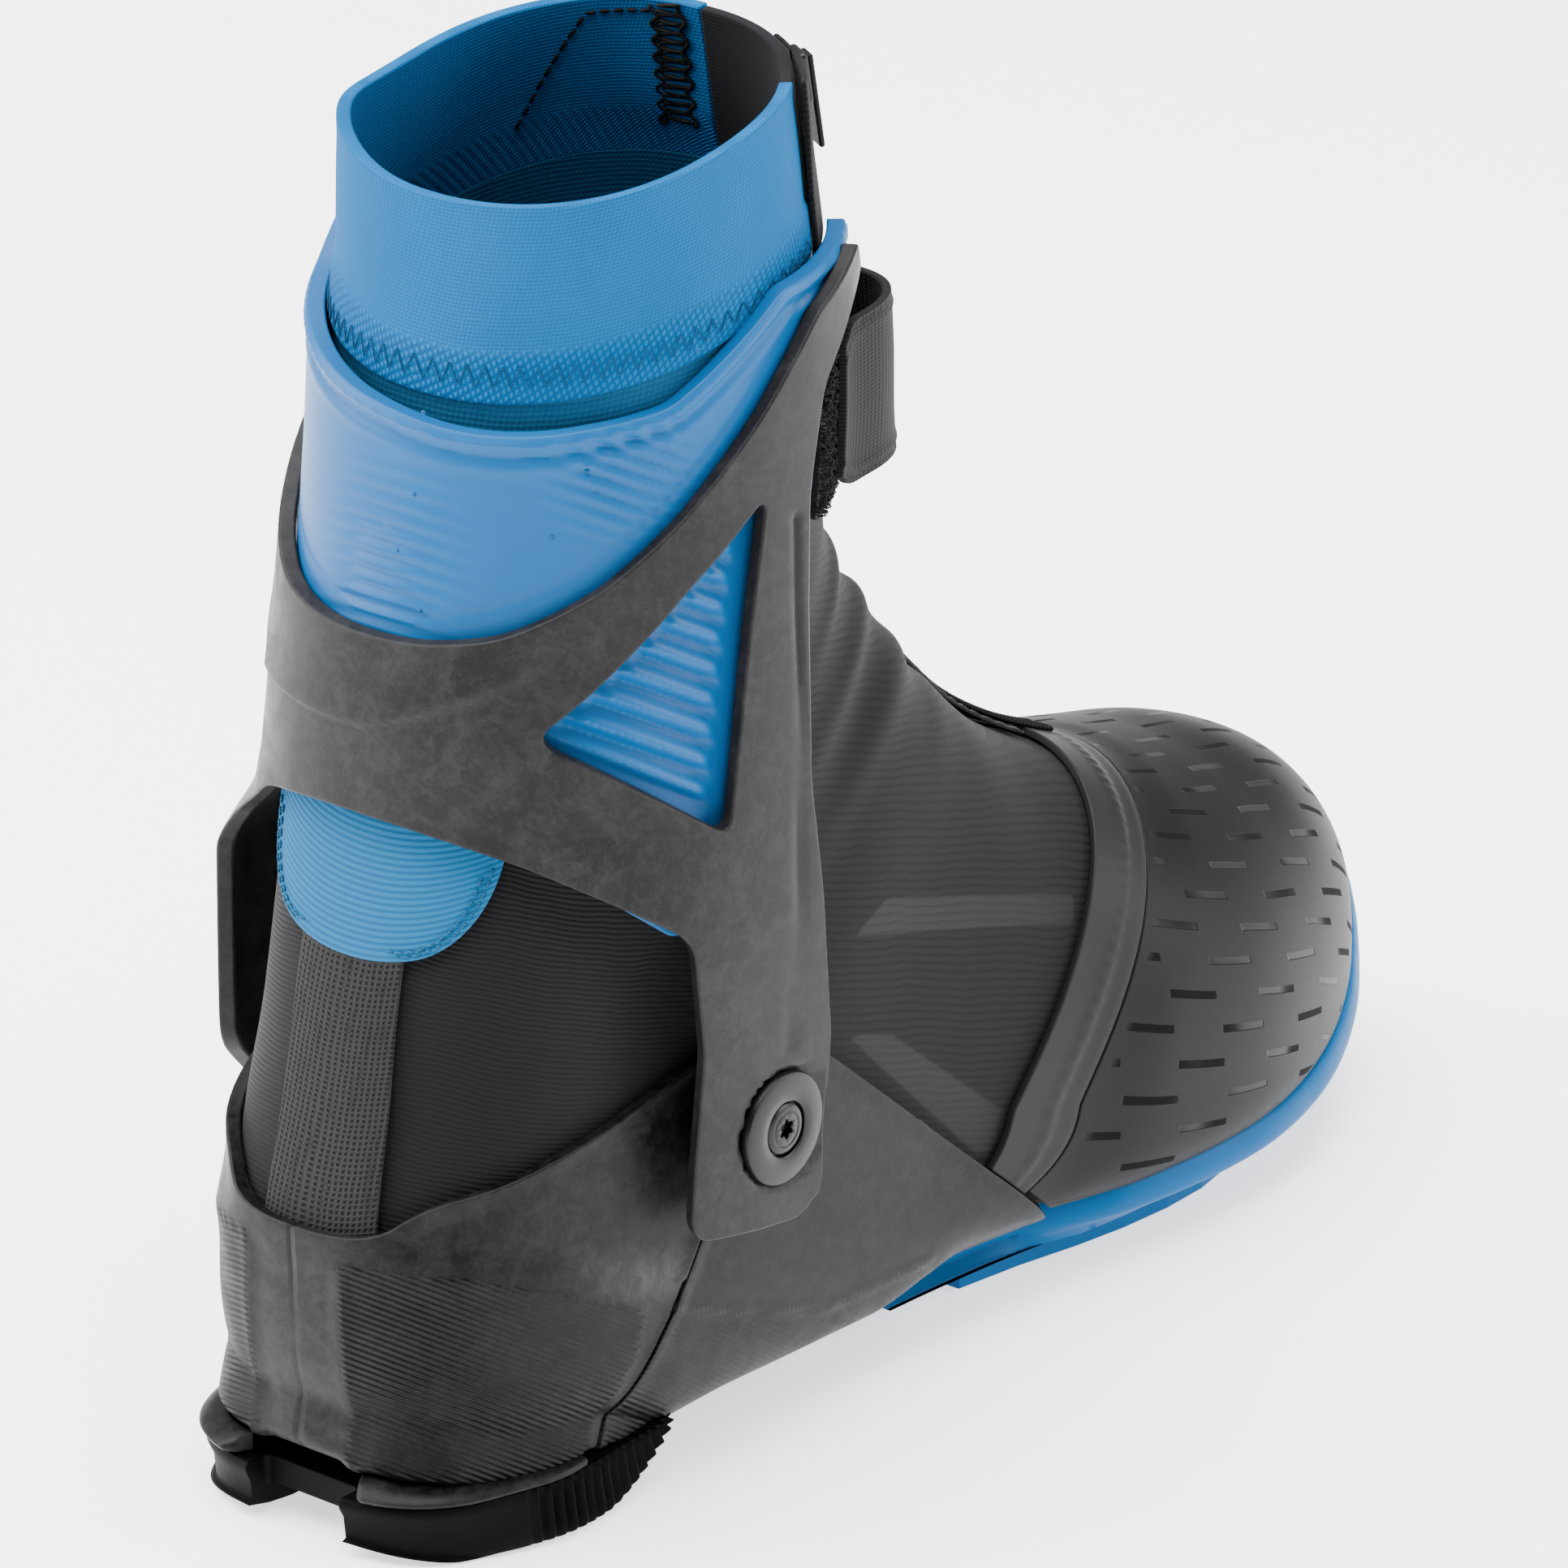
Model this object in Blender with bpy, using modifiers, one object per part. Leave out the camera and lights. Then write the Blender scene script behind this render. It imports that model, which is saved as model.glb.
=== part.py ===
"""Cross-country skate boot, right foot, EU 42.

Toe towards -Y, lateral side towards -X, +Z up.  The origin is on the floor under the middle of the boot.
Lengths below are in millimetres; mm() turns them into Blender's metres.
"""
import math

import bmesh
import bpy
import numpy as np
from mathutils import Matrix, Vector

# Stations of the foot form, from the tip of the toe, round the instep bend, up to the collar rim.
# Each row is one closed section in the plane through its top (or front) point and its bottom (or back) point:
# top y, top z, bottom y, bottom z, half width, side shift, share of the depth where it is widest,
# roundness of the upper half, squareness of the lower half.
STATIONS = np.array([
    (-140, 31, -140, 25, 7, 5, .60, 2.2, 2.6),
    (-137, 47, -137, 18, 20, 5, .62, 2.2, 3.0),
    (-127, 60, -127, 15, 29, 4, .66, 2.2, 3.6),
    (-111, 68, -111, 14, 38, 2, .70, 2.2, 4.4),
    (-90, 73.5, -90, 13, 45, 0, .72, 2.2, 4.8),
    (-68, 80, -66, 13, 48, -2, .74, 2.2, 5.0),
    (-46, 89.5, -38, 13, 47, -2, .74, 2.2, 5.0),
    (-31, 99, -8, 13.5, 44, 0, .72, 2.2, 5.0),
    (-19, 110, 26, 13.5, 41, 0, .68, 2.2, 5.0),
    (-9, 120, 62, 13.5, 40, 0, .64, 2.2, 4.8),
    (-1, 131, 96, 13.5, 39, 0, .60, 2.2, 4.4),
    (6, 141, 123, 15, 37.5, 0, .58, 2.2, 3.6),
    (11, 151, 136, 27, 36.5, 0, .56, 2.2, 2.9),
    (14, 160, 137.5, 52, 36, 0, .54, 2.2, 2.5),
    (17, 168, 131, 76, 36.5, 0, .52, 2.2, 2.3),
    (20, 179, 125, 98, 37.5, 0, .50, 2.2, 2.2),
    (22, 192, 116.5, 124, 39, 0, .50, 2.2, 2.2),
    (24, 205, 111, 152, 39.5, 0, .50, 2.2, 2.2),
    (26.5, 218, 107, 180, 39.5, 0, .50, 2.2, 2.2),
    (29, 231, 104.5, 206, 38.5, 0, .50, 2.2, 2.2),
    (31.5, 245, 104, 230, 37.5, 0, .50, 2.2, 2.2),
], float)
RIM = len(STATIONS) - 1          # station of the collar rim

# Rows and columns that all layers on the foot form share: closer together round the toe and the heel.
SHARED_STATIONS = [0.5, 1, 1.5, 2, 3, 4, 5, 6, 7, 8, 9, 9.5, 10, 10.5, 11, 11.5, 12, 12.5, 13, *range(14, RIM)]
COLUMNS = 32

# Level sections of the cuff's outer face: height, back, half width, squareness.
CUFF_LEVELS = np.array([
    (40, 124, 50.5, 3.2),
    (64, 124, 49.3, 3.0),
    (104, 124, 49.0, 2.6),
    (126, 122, 47.5, 2.3),
    (155, 119, 46.0, 2.2),
    (180, 115.5, 45.5, 2.2),
    (220, 111, 45.5, 2.2),
], float)
CUFF_CENTRE_Y = 62
CUFF_FRONT_REACH = 44            # from the cuff's centre line to its front

GAP = 0.3                        # between parts that touch
LAYER_GAP = 0.4                  # between stacked layers of the upper
SKIN_GAP = 0.8                   # under the tapes and patches sewn on the knit
KNIT_THICKNESS = 2.2
CAP_THICKNESS = 1.2
BAND_THICKNESS = 1.7
COUNTER_THICKNESS = 2.2
SKIN_THICKNESS = 0.8             # tapes and sewn-on patches
FRAME_THICKNESS = 2.8
LINER_THICKNESS = 1.9

PIVOT_Y, PIVOT_Z = 70.5, 64.8    # ankle hinge, a line along X
PIVOT_CAP_RADIUS = 10.2
PIVOT_SHAFT_RADIUS = 4.0
PIVOT_RECESS_DEPTH = 1.2
PIVOT_ARM_FACE = 49.3            # outer face of the arm at the pivot, from the middle plane

SOLE_BOTTOM, SOLE_TOP = 5.3, 12.5
SOLE_EDGE = 10.0                 # lower edge of the forefoot sole's side
TREAD_INSET = -14.5              # of the forefoot treads, from the foot form
TREAD_TOP = 10.4
TOE_BAR_Y, TOE_BAR_Z = -117, 2.5
GROOVE_HALF_WIDTH = 9            # binding groove between the forefoot treads

MEDIAL_FLARE = 6.2               # how far the medial arm's rear edge stands off the ankle

STRAP_LOW, STRAP_HIGH = 168, 198
STRAP_OFFSET, STRAP_THICKNESS = 2.0, 1.6
STRAP_BULGE = 9
STRAP_START, STRAP_END = -0.19, 0.165     # turns round the shaft, 0 at the front
BAND_FRONT, BAND_REAR = 4.85, 5.5         # stations of the band's edges on the instep
BAND_SLANT = 8.0                 # stations that the band runs back in one turn round the foot
ZIP_TURN = 0.084
FLAP_TURNS = (0.104, 0.165)

COLOURS = {
    "knit_black": ((0.012, 0.012, 0.014), 0.85, 0.0),
    "knit_blue": ((0.045, 0.30, 0.62), 0.80, 0.0),
    "laminate_black": ((0.014, 0.014, 0.015), 0.45, 0.0),
    "carbon_composite": ((0.045, 0.042, 0.044), 0.45, 0.0),
    "shell_blue": ((0.07, 0.30, 0.62), 0.35, 0.0),
    "rubber_black": ((0.010, 0.010, 0.010), 0.70, 0.0),
    "rubber_blue": ((0.06, 0.28, 0.60), 0.50, 0.0),
    "mesh_grey": ((0.035, 0.035, 0.038), 0.90, 0.0),
    "pivot_black": ((0.010, 0.010, 0.011), 0.30, 0.0),
    "steel": ((0.45, 0.45, 0.46), 0.30, 1.0),
    "foam_grey": ((0.10, 0.10, 0.11), 0.90, 0.0),
}


def mm(*values):
    """Millimetres to a Blender vector in metres."""
    return Vector(values) * 0.001


# ---------------------------------------------------------------- scene set-up

def clear_scene():
    for item in list(bpy.data.objects):
        bpy.data.objects.remove(item, do_unlink=True)


def new_collection(name):
    collection = bpy.data.collections.new(name)
    bpy.context.scene.collection.children.link(collection)
    return collection


def make_materials():
    materials = {}
    for name, (colour, roughness, metallic) in COLOURS.items():
        material = bpy.data.materials.new(name)
        material.use_nodes = True
        shader = material.node_tree.nodes["Principled BSDF"]
        shader.inputs["Base Color"].default_value = (*colour, 1.0)
        shader.inputs["Roughness"].default_value = roughness
        shader.inputs["Metallic"].default_value = metallic
        materials[name] = material
    return materials


clear_scene()
BOOT = new_collection("cross_country_boot")
CUTTERS = new_collection("cutters")
MATERIALS = make_materials()


def add_object(name, mesh, material=None, smooth_angle=40):
    item = bpy.data.objects.new(name, mesh)
    BOOT.objects.link(item)
    if material:
        mesh.materials.append(MATERIALS[material])
        mesh.shade_smooth()
        mesh.set_sharp_from_angle(angle=math.radians(smooth_angle))
    return item


def add_cutter(item):
    for collection in list(item.users_collection):
        collection.objects.unlink(item)
    CUTTERS.objects.link(item)
    item.hide_render = True
    item.display_type = "WIRE"
    return item


def boolean(item, cutter, operation):
    modifier = item.modifiers.new(operation.lower(), "BOOLEAN")
    modifier.operation = operation
    modifier.solver = "EXACT"
    modifier.object = cutter


# ---------------------------------------------------------------- surfaces

def station_row(t):
    """Catmull-Rom blend of the station table at t."""
    table = np.vstack([2 * STATIONS[0] - STATIONS[1], STATIONS, 2 * STATIONS[-1] - STATIONS[-2]])
    i = min(int(t), RIM - 1)
    f = t - i
    before, first, second, after = table[i:i + 4]
    return 0.5 * (2 * first + (second - before) * f
                  + (2 * before - 5 * first + 4 * second - after) * f ** 2
                  + (3 * first - before - 3 * second + after) * f ** 3)


def form_point(t, u):
    """Point of the foot form; u counts turns from the top (front), 0.25 is lateral."""
    top_y, top_z, low_y, low_z, width, shift, widest, upper, lower = station_row(t)
    c = math.cos(2 * math.pi * u)
    s = math.sin(2 * math.pi * u)
    power = upper if c > 0 else lower
    rise = abs(c) ** (2 / power)
    depth = widest * (1 - rise) if c > 0 else widest + (1 - widest) * rise
    x = shift - width * math.copysign(abs(s) ** (2 / power), s)
    return np.array((x, top_y + (low_y - top_y) * depth, top_z + (low_z - top_z) * depth))


def foot_form(t, u, offset=0.0):
    """Point of the foot form, moved out along its normal."""
    step = 1e-3
    point = form_point(t, u)
    along = form_point(min(t + step, RIM), u) - form_point(max(t - step, 0), u)
    across = form_point(t, u + step) - form_point(t, u - step)
    normal = np.cross(along, across)
    return point + offset * normal / np.linalg.norm(normal)


def cuff_form(z, angle, offset=0.0):
    """Point of the cuff's outer face; the angle is 0 at the back and positive on the lateral side."""
    levels = CUFF_LEVELS.T
    back = np.interp(z, levels[0], levels[1]) + offset
    width = np.interp(z, levels[0], levels[2]) + offset
    power = 2 / np.interp(z, levels[0], levels[3])
    c, s = math.cos(angle), math.sin(angle)
    reach = back - CUFF_CENTRE_Y if c > 0 else CUFF_FRONT_REACH + offset
    return np.array((-width * math.copysign(abs(s) ** power, s),
                     CUFF_CENTRE_Y + reach * math.copysign(abs(c) ** power, c), z))


def grid_mesh(name, rows, closed=False, tip=False):
    """Quad mesh through rows of points; a tip closes the first ring."""
    bm = bmesh.new()
    grid = [[bm.verts.new(mm(*point)) for point in row] for row in rows]
    count = len(grid[0])
    last = count if closed else count - 1
    for low, high in zip(grid, grid[1:]):
        for i in range(last):
            j = (i + 1) % count
            bm.faces.new((low[i], high[i], high[j], low[j]))
    if tip:
        bm.faces.new(grid[0])
    mesh = bpy.data.meshes.new(name)
    bm.to_mesh(mesh)
    bm.free()
    return mesh


def solidify(item, thickness):
    """Thickens an outer face inwards."""
    modifier = item.modifiers.new("thickness", "SOLIDIFY")
    modifier.thickness = thickness * 0.001
    modifier.offset = -1.0


def form_shell(name, material, t_values, u_values, outer, thickness, closed=False, tip=False):
    """Shell on the foot form whose outer face is `outer` above it."""
    rows = [[foot_form(t, u, outer) for u in u_values] for t in t_values]
    item = add_object(name, grid_mesh(name, rows, closed, tip), material)
    solidify(item, thickness)
    return item


def cuff_shell(name, material, heights, angles, outer, thickness):
    rows = [[cuff_form(z, angle, outer) for angle in angles] for z in heights]
    item = add_object(name, grid_mesh(name, rows), material)
    solidify(item, thickness)
    return item


def span(start, end, count):
    return [start + (end - start) * i / (count - 1) for i in range(count)]


def stations(start, end):
    """The shared rows between two stations, so that stacked layers have parallel facets."""
    return [start] + [t for t in SHARED_STATIONS if start < t < end] + [end]


def turns(start, end):
    """Shared columns from one count of 1/COLUMNS turn to another."""
    return [i / COLUMNS for i in range(start, end + 1)]


# ---------------------------------------------------------------- outlines

def rounded(corners, steps=4):
    """Points of a closed outline; each corner is (a, b, radius)."""
    points = []
    for i, (a, b, radius) in enumerate(corners):
        corner = Vector((a, b))
        before = Vector(corners[i - 1][:2]) - corner
        after = Vector(corners[(i + 1) % len(corners)][:2]) - corner
        if radius == 0:
            points.append(corner)
            continue
        half = before.angle(after) / 2
        reach = min(radius / math.tan(half), 0.48 * before.length, 0.48 * after.length)
        start = corner + before.normalized() * reach
        end = corner + after.normalized() * reach
        for k in range(steps + 1):
            f = k / steps
            points.append(start * (1 - f) ** 2 + corner * 2 * f * (1 - f) + end * f ** 2)
    return points


def outline_solid(name, points, half_depth, matrix, material=None):
    """A flat outline made as thick as twice half_depth; matrix places its plane."""
    curve = bpy.data.curves.new(name, "CURVE")
    curve.dimensions = "2D"
    curve.fill_mode = "BOTH"
    curve.extrude = half_depth * 0.001
    spline = curve.splines.new("POLY")
    spline.points.add(len(points) - 1)
    for target, (a, b) in zip(spline.points, points):
        target.co = (a * 0.001, b * 0.001, 0, 1)
    spline.use_cyclic_u = True
    source = bpy.data.objects.new(name + "_curve", curve)
    BOOT.objects.link(source)
    depsgraph = bpy.context.evaluated_depsgraph_get()
    mesh = bpy.data.meshes.new_from_object(source.evaluated_get(depsgraph))
    bpy.data.objects.remove(source)
    mesh.transform(matrix)
    bm = bmesh.new()
    bm.from_mesh(mesh)
    bmesh.ops.remove_doubles(bm, verts=bm.verts, dist=1e-6)
    bmesh.ops.recalc_face_normals(bm, faces=bm.faces)
    bm.to_mesh(mesh)
    bm.free()
    mesh.name = name
    return add_object(name, mesh, material)


SIDE_VIEW = Matrix(((0, 0, 1, 0), (1, 0, 0, 0), (0, 1, 0, 0), (0, 0, 0, 1)))


def side_cutter(name, corners, half_depth=80, tilt=0.0):
    """Cutter with an outline in the side view; tilt raises it towards the medial side."""
    lean = Matrix(((1, 0, 0, 0), (0, 1, 0, 0), (tilt, 0, 1, 0), (0, 0, 0, 1)))
    return add_cutter(outline_solid(name, rounded(corners), half_depth, lean @ SIDE_VIEW))


def keep_inside(item, corners, tilt=0.0):
    boolean(item, side_cutter(item.name + "_outline", corners, tilt=tilt), "INTERSECT")


def plan_solid(name, material, points, low, high):
    middle = Matrix.Translation(mm(0, 0, (low + high) / 2))
    return outline_solid(name, points, (high - low) / 2, middle, material)


def turned(name, material, profile, matrix, steps=24):
    """Profile of (radius, height) pairs, top to bottom, turned about Z."""
    mesh = bpy.data.meshes.new(name)
    points = [mm(radius, 0, height) for radius, height in profile]
    mesh.from_pydata(points, [(i, i + 1) for i in range(len(points) - 1)], [])
    item = add_object(name, mesh, material)
    screw = item.modifiers.new("turn", "SCREW")
    screw.steps = screw.render_steps = steps
    screw.use_merge_vertices = True
    screw.merge_threshold = 1e-5
    item.matrix_world = matrix
    return item


# ---------------------------------------------------------------- upper

# Lines across the boot in the side view: (y, z) at y = -60 and y = 150.
ANKLE_LINE = ((-60, 131.4), (150, 79.3))
SHAFT_LINE = ((-60, 185.0), (150, 144.5))
SEAM_LINE = ((-60, 238.4), (150, 183.8))


def below(line):
    (y0, z0), (y1, z1) = line
    return [(-170, -20, 0), (y1, -20, 0), (y1, z1, 0), (y0, z0, 0), (-170, z0, 0)]


def between(low_line, high_line):
    (y0, z0), (y1, z1) = low_line
    (y2, z2), (y3, z3) = high_line
    return [(y0, z0 + LAYER_GAP, 0), (y1, z1 + LAYER_GAP, 0), (y3, z3, 0), (y2, z2, 0)]


def above(line):
    (y0, z0), (y1, z1) = line
    return [(y0, z0 + LAYER_GAP, 0), (y1, z1 + LAYER_GAP, 0), (150, 270, 0), (y0, 270, 0)]


def make_upper():
    vamp = form_shell("vamp_upper", "knit_black", stations(0, 15), turns(0, COLUMNS - 1), 0, KNIT_THICKNESS,
                      closed=True, tip=True)
    keep_inside(vamp, below(ANKLE_LINE))
    gaiter = form_shell("ankle_gaiter", "knit_black", stations(7, 18), turns(0, COLUMNS - 1),
                        0, KNIT_THICKNESS,
                        closed=True)
    keep_inside(gaiter, between(ANKLE_LINE, SHAFT_LINE))


def band_station(u, start):
    """Station of a band edge that starts at `start` on the instep and runs down and back on both sides."""
    return start + BAND_SLANT * math.hypot(u, 0.02)


def make_overlays():
    """The laminate cap over the toes and the band that frames it."""
    cap_rows = []
    for f in span(0, 1, 13):
        cap_rows.append([foot_form(f * band_station(u, BAND_FRONT), u, SKIN_GAP + CAP_THICKNESS)
                         for u in turns(-13, 13)])
    cap = add_object("toe_cap", grid_mesh("toe_cap", cap_rows), "laminate_black")
    solidify(cap, CAP_THICKNESS)
    keep_inside(cap, [(-3.8, 28.5, 0), (-16.4, 17.3, 0), (-34, 17.2, 0), (-63, 17.5, 0), (-86, 19, 8),
                      (-103, 22, 8), (-122, 28, 8), (-138, 41, 8), (-170, 46, 0), (-170, 130, 0), (20, 130, 0)])
    band_rows = []
    for start in span(BAND_FRONT + 0.05, BAND_REAR, 3):
        band_rows.append([foot_form(band_station(u, start), u, SKIN_GAP + BAND_THICKNESS)
                          for u in turns(-11, 11)])
    band = add_object("rand_band", grid_mesh("rand_band", band_rows), "laminate_black")
    solidify(band, BAND_THICKNESS)
    keep_inside(band, [(-170, 130, 0), (-170, 23, 0), (-9, 23.2, 0), (50, 72.9, 0), (50, 130, 0)])


def make_heel():
    counter = form_shell("heel_counter", "carbon_composite", stations(7, 15), turns(5, 27),
                         LAYER_GAP + COUNTER_THICKNESS, COUNTER_THICKNESS)
    keep_inside(counter, [(160, 57, 0), (138, 57, 10), (132, 64.5, 15), (111, 70.9, 30), (87, 76.7, 30),
                          (74, 79, 5), (79, 52, 15), (91.5, 31, 0), (105, 5, 0), (160, 5, 0)])
    chassis = form_shell("midfoot_chassis", "carbon_composite", stations(5, 13), turns(5, 27),
                         LAYER_GAP + COUNTER_THICKNESS, COUNTER_THICKNESS)
    keep_inside(chassis, [(73.2, 79, 4), (61, 76.5, 12), (47.8, 68, 0), (-12.3, 17, 0), (-10, 16.9, 0),
                          (14.4, 15.1, 4), (21.1, 8, 0), (24, 5, 0), (104.4, 5, 0), (90.8, 31, 0), (78.3, 52, 15)])


def make_trim():
    strip = form_shell("achilles_strip", "mesh_grey", stations(13, 16), span(0.465, 0.535, 5),
                       SKIN_GAP + SKIN_THICKNESS, SKIN_THICKNESS)
    keep_inside(strip, [(100, 61, 0), (160, 61, 0), (160, 108, 0), (100, 108, 0)])
    patch = form_shell("achilles_patch", "knit_blue", stations(14, 17), span(0.405, 0.585, 9),
                       SKIN_GAP + SKIN_THICKNESS, SKIN_THICKNESS)
    keep_inside(patch, [(90, 109.5, 0), (160, 109.5, 0), (160, 121, 0), (90, 121, 0)])
    form_shell("zip_tape_instep", "laminate_black", span(5.9, 8.6, 8), span(-0.02, 0.02, 4),
               SKIN_GAP + SKIN_THICKNESS, SKIN_THICKNESS)


def make_insides():
    """The board and the insole that lie on the bottom of the upper."""
    for name, outer, thickness in (("lasting_board", -2.8, 1.6), ("footbed", -4.8, 3.0)):
        item = form_shell(name, "foam_grey", stations(1.5, 12), turns(11, 21), outer, thickness)
        keep_inside(item, [(-150, 5, 0), (132, 5, 0), (132, 27, 0), (-150, 27, 0)])


# ---------------------------------------------------------------- sole

def sole_outline(t_values, turn, offset):
    """Plan outline of the sole, read from the lower sides of the foot form."""
    lateral = [foot_form(t, turn, offset)[:2] for t in t_values]
    medial = [foot_form(t, 1 - turn, offset)[:2] for t in reversed(t_values)]
    return [tuple(point) for point in lateral + medial]


def plan_loft(name, material, levels):
    """Closed solid through plan outlines of the sole, one for each level, bottom first.

    A level is a height, an offset from the foot form and the outline's first station.
    """
    mesh = bpy.data.meshes.new(name)
    points = [mm(x, y, z) for z, offset, first in levels
              for x, y in sole_outline(span(first, 8.4, 14), 0.30, offset)]
    count = len(points) // len(levels)
    faces = [tuple(reversed(range(count))), tuple(range(len(points) - count, len(points)))]
    for level in range(len(levels) - 1):
        start = level * count
        for j in range(count):
            k = (j + 1) % count
            faces.append((start + j, start + k, start + count + k, start + count + j))
    mesh.from_pydata(points, [], faces)
    bm = bmesh.new()
    bm.from_mesh(mesh)
    bmesh.ops.recalc_face_normals(bm, faces=bm.faces)
    bm.to_mesh(mesh)
    bm.free()
    return add_object(name, mesh, material)


def make_toe_outsole():
    sole = plan_loft("toe_outsole", "rubber_blue",
                     [(SOLE_BOTTOM, -9, 1.3), (SOLE_EDGE, 1.2, 0.2), (SOLE_TOP, 1.2, 0.2)])
    keep_inside(sole, [(-160, 3, 0), (13, 3, 0), (18, 6, 3), (20.5, 8, 0), (14, 14.5, 0), (-160, 14.5, 0)])
    lip = form_shell("toe_outsole_lip", "rubber_blue", stations(0, 9), turns(0, COLUMNS - 1), 3.2, 2.8,
                     closed=True, tip=True)
    keep_inside(lip, [(-170, SOLE_EDGE, 0), (18.6, SOLE_EDGE, 0), (14, 14.5, 4), (-10, 16.4, 0),
                      (-34, 16.4, 0), (-63, 16.6, 0), (-86, 18, 8), (-103, 21, 8), (-122, 27, 8),
                      (-138, 40, 8), (-170, 45, 0)])
    add_cutter(lip)
    boolean(sole, lip, "UNION")


def make_forefoot_tread():
    plan = sole_outline(span(2.2, 7.2, 12), 0.33, TREAD_INSET)
    for name, side in (("forefoot_tread_lateral", -1), ("forefoot_tread_medial", 1)):
        tread = plan_solid(name, "rubber_black", plan, 0, SOLE_BOTTOM - GAP)
        near, far = side * GROOVE_HALF_WIDTH, side * 80
        half = [(near, -160), (far, -160), (far, 60), (near, 60)]
        boolean(tread, add_cutter(plan_solid(name + "_side", None, half, -5, 20)), "INTERSECT")
    along_x = Matrix.Translation(mm(0, TOE_BAR_Y, TOE_BAR_Z)) @ Matrix.Rotation(math.pi / 2, 4, "Y")
    half_length = GROOVE_HALF_WIDTH - GAP
    turned("toe_bar", "steel", [(0, half_length), (2, half_length), (2, -half_length), (0, -half_length)],
           along_x, steps=16)


def make_heel_tread():
    plan = rounded([(-34, 82, 6), (-35.5, 112, 30), (-26, 138, 22), (0, 143, 30), (26, 138, 22),
                    (35.5, 112, 30), (34, 82, 6)])
    tread = plan_solid("heel_tread", "rubber_black", plan, 0, TREAD_TOP)
    keep_inside(tread, [(83, 14, 0), (85, 9, 8), (107, 0, 8), (133, 0, 3), (145, 12, 0), (145, 14, 0)])
    notch = plan_solid("heel_notch", None, [(-10.5, 112), (10.5, 112), (10.5, 150), (-10.5, 150)], -5, 5.5)
    boolean(tread, add_cutter(notch), "DIFFERENCE")
    corners = [(-10.5, 137), (10.5, 137), (10.5, 150), (-10.5, 150)]
    rear = plan_solid("heel_rear_notch", None, corners, -5, 14)
    boolean(tread, add_cutter(rear), "DIFFERENCE")


# ---------------------------------------------------------------- cuff

def parent_empty(name, location):
    empty = bpy.data.objects.new(name, None)
    empty.location = location
    BOOT.objects.link(empty)
    return empty


def attach(children, empty):
    bpy.context.view_layer.update()
    for child in children:
        child.parent = empty
        child.matrix_parent_inverse = empty.matrix_world.inverted()


def on_pivot(side, distance):
    """Matrix at a distance from the middle plane on the ankle hinge, with Z pointing out."""
    turn = Matrix.Rotation(side * math.pi / 2, 4, "Y")
    return Matrix.Translation(mm(side * distance, PIVOT_Y, PIVOT_Z)) @ turn


def pivot_bore(name, radius, near, far):
    side = 1 if far > 0 else -1
    length = abs(far - near)
    profile = [(0, length), (radius, length), (radius, 0), (0, 0)]
    return add_cutter(turned(name, None, profile, on_pivot(side, abs(near)), 32))


def flare_medial_arm(mesh):
    """Stand the medial arm's rear edge off the ankle."""
    for vertex in mesh.vertices:
        x, y, z = np.array(vertex.co) * 1000
        if x > 0:
            rearward = min(max((y - 85) / 19, 0), 1)
            lowness = min(max((120 - z) / 18, 0), 1)
            vertex.co.x += 0.001 * MEDIAL_FLARE * rearward * lowness


def make_cuff_frame():
    frame = cuff_shell("cuff_frame", "carbon_composite", span(42, 216, 16), span(2.3, -2.3, 37),
                       0, FRAME_THICKNESS)
    flare_medial_arm(frame.data)
    keep_inside(frame, [(40, 213, 1), (56, 206, 8), (71, 191.5, 30), (87, 177.5, 30), (100, 167.5, 20),
                        (112, 160, 20), (124, 155, 0), (135, 155, 0), (135, 127.5, 0), (124, 127.5, 0),
                        (116, 123, 10), (107.5, 112, 6), (104.5, 90, 20), (102, 64, 14), (91, 51, 8),
                        (78, 48.5, 20), (62.5, 46.5, 8), (57, 76, 40), (60.5, 125, 60), (58.5, 175, 30),
                        (54, 193, 12), (43, 203.5, 8), (37, 208, 1)])
    # The medial arm is wider than the lateral one, which this cuts back to its own rear edge.
    corners = [(160, 127, 0), (123, 127, 0), (114, 121.5, 25), (90.5, 105, 9), (89, 84, 20),
               (93.5, 51, 5), (78, 48.5, 20), (78, 30, 0), (160, 30, 0)]
    rear = side_cutter("lateral_arm_rear", corners, half_depth=40)
    rear.location.x = -0.042
    boolean(frame, rear, "DIFFERENCE")
    window = [(111, 142.5, 3.5), (81, 121, 2.5), (69.5, 178, 1.5), (86, 165.5, 25)]
    boolean(frame, side_cutter("side_windows", window), "DIFFERENCE")
    for label, side in (("lateral", -1), ("medial", 1)):
        face = side * PIVOT_ARM_FACE
        boolean(frame, pivot_bore("cap_recess_" + label, PIVOT_CAP_RADIUS + 0.5,
                                  face - side * PIVOT_RECESS_DEPTH, face + side * 4), "DIFFERENCE")
        boolean(frame, pivot_bore("shaft_hole_" + label, PIVOT_SHAFT_RADIUS + 0.4,
                                  face - side * 8, face + side * 4), "DIFFERENCE")
    return frame


def make_cuff_liner():
    outer = -FRAME_THICKNESS - GAP
    liner = cuff_shell("cuff_liner", "shell_blue", span(96, 222, 9), span(2.3, -2.3, 33),
                       outer, LINER_THICKNESS)
    keep_inside(liner, [(34, 218.5, 1), (62, 216.5, 8), (75, 208.2, 12), (86, 201, 15), (98, 198, 15),
                        (110, 194.3, 10), (125, 191, 0), (140, 191, 0), (140, 134, 0), (118, 134, 0),
                        (107, 121, 5), (92, 106.5, 3), (64, 104, 3), (63, 180, 0), (59, 197, 10),
                        (47, 207.5, 8), (34, 215, 1)], tilt=0.13)
    return liner


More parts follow.
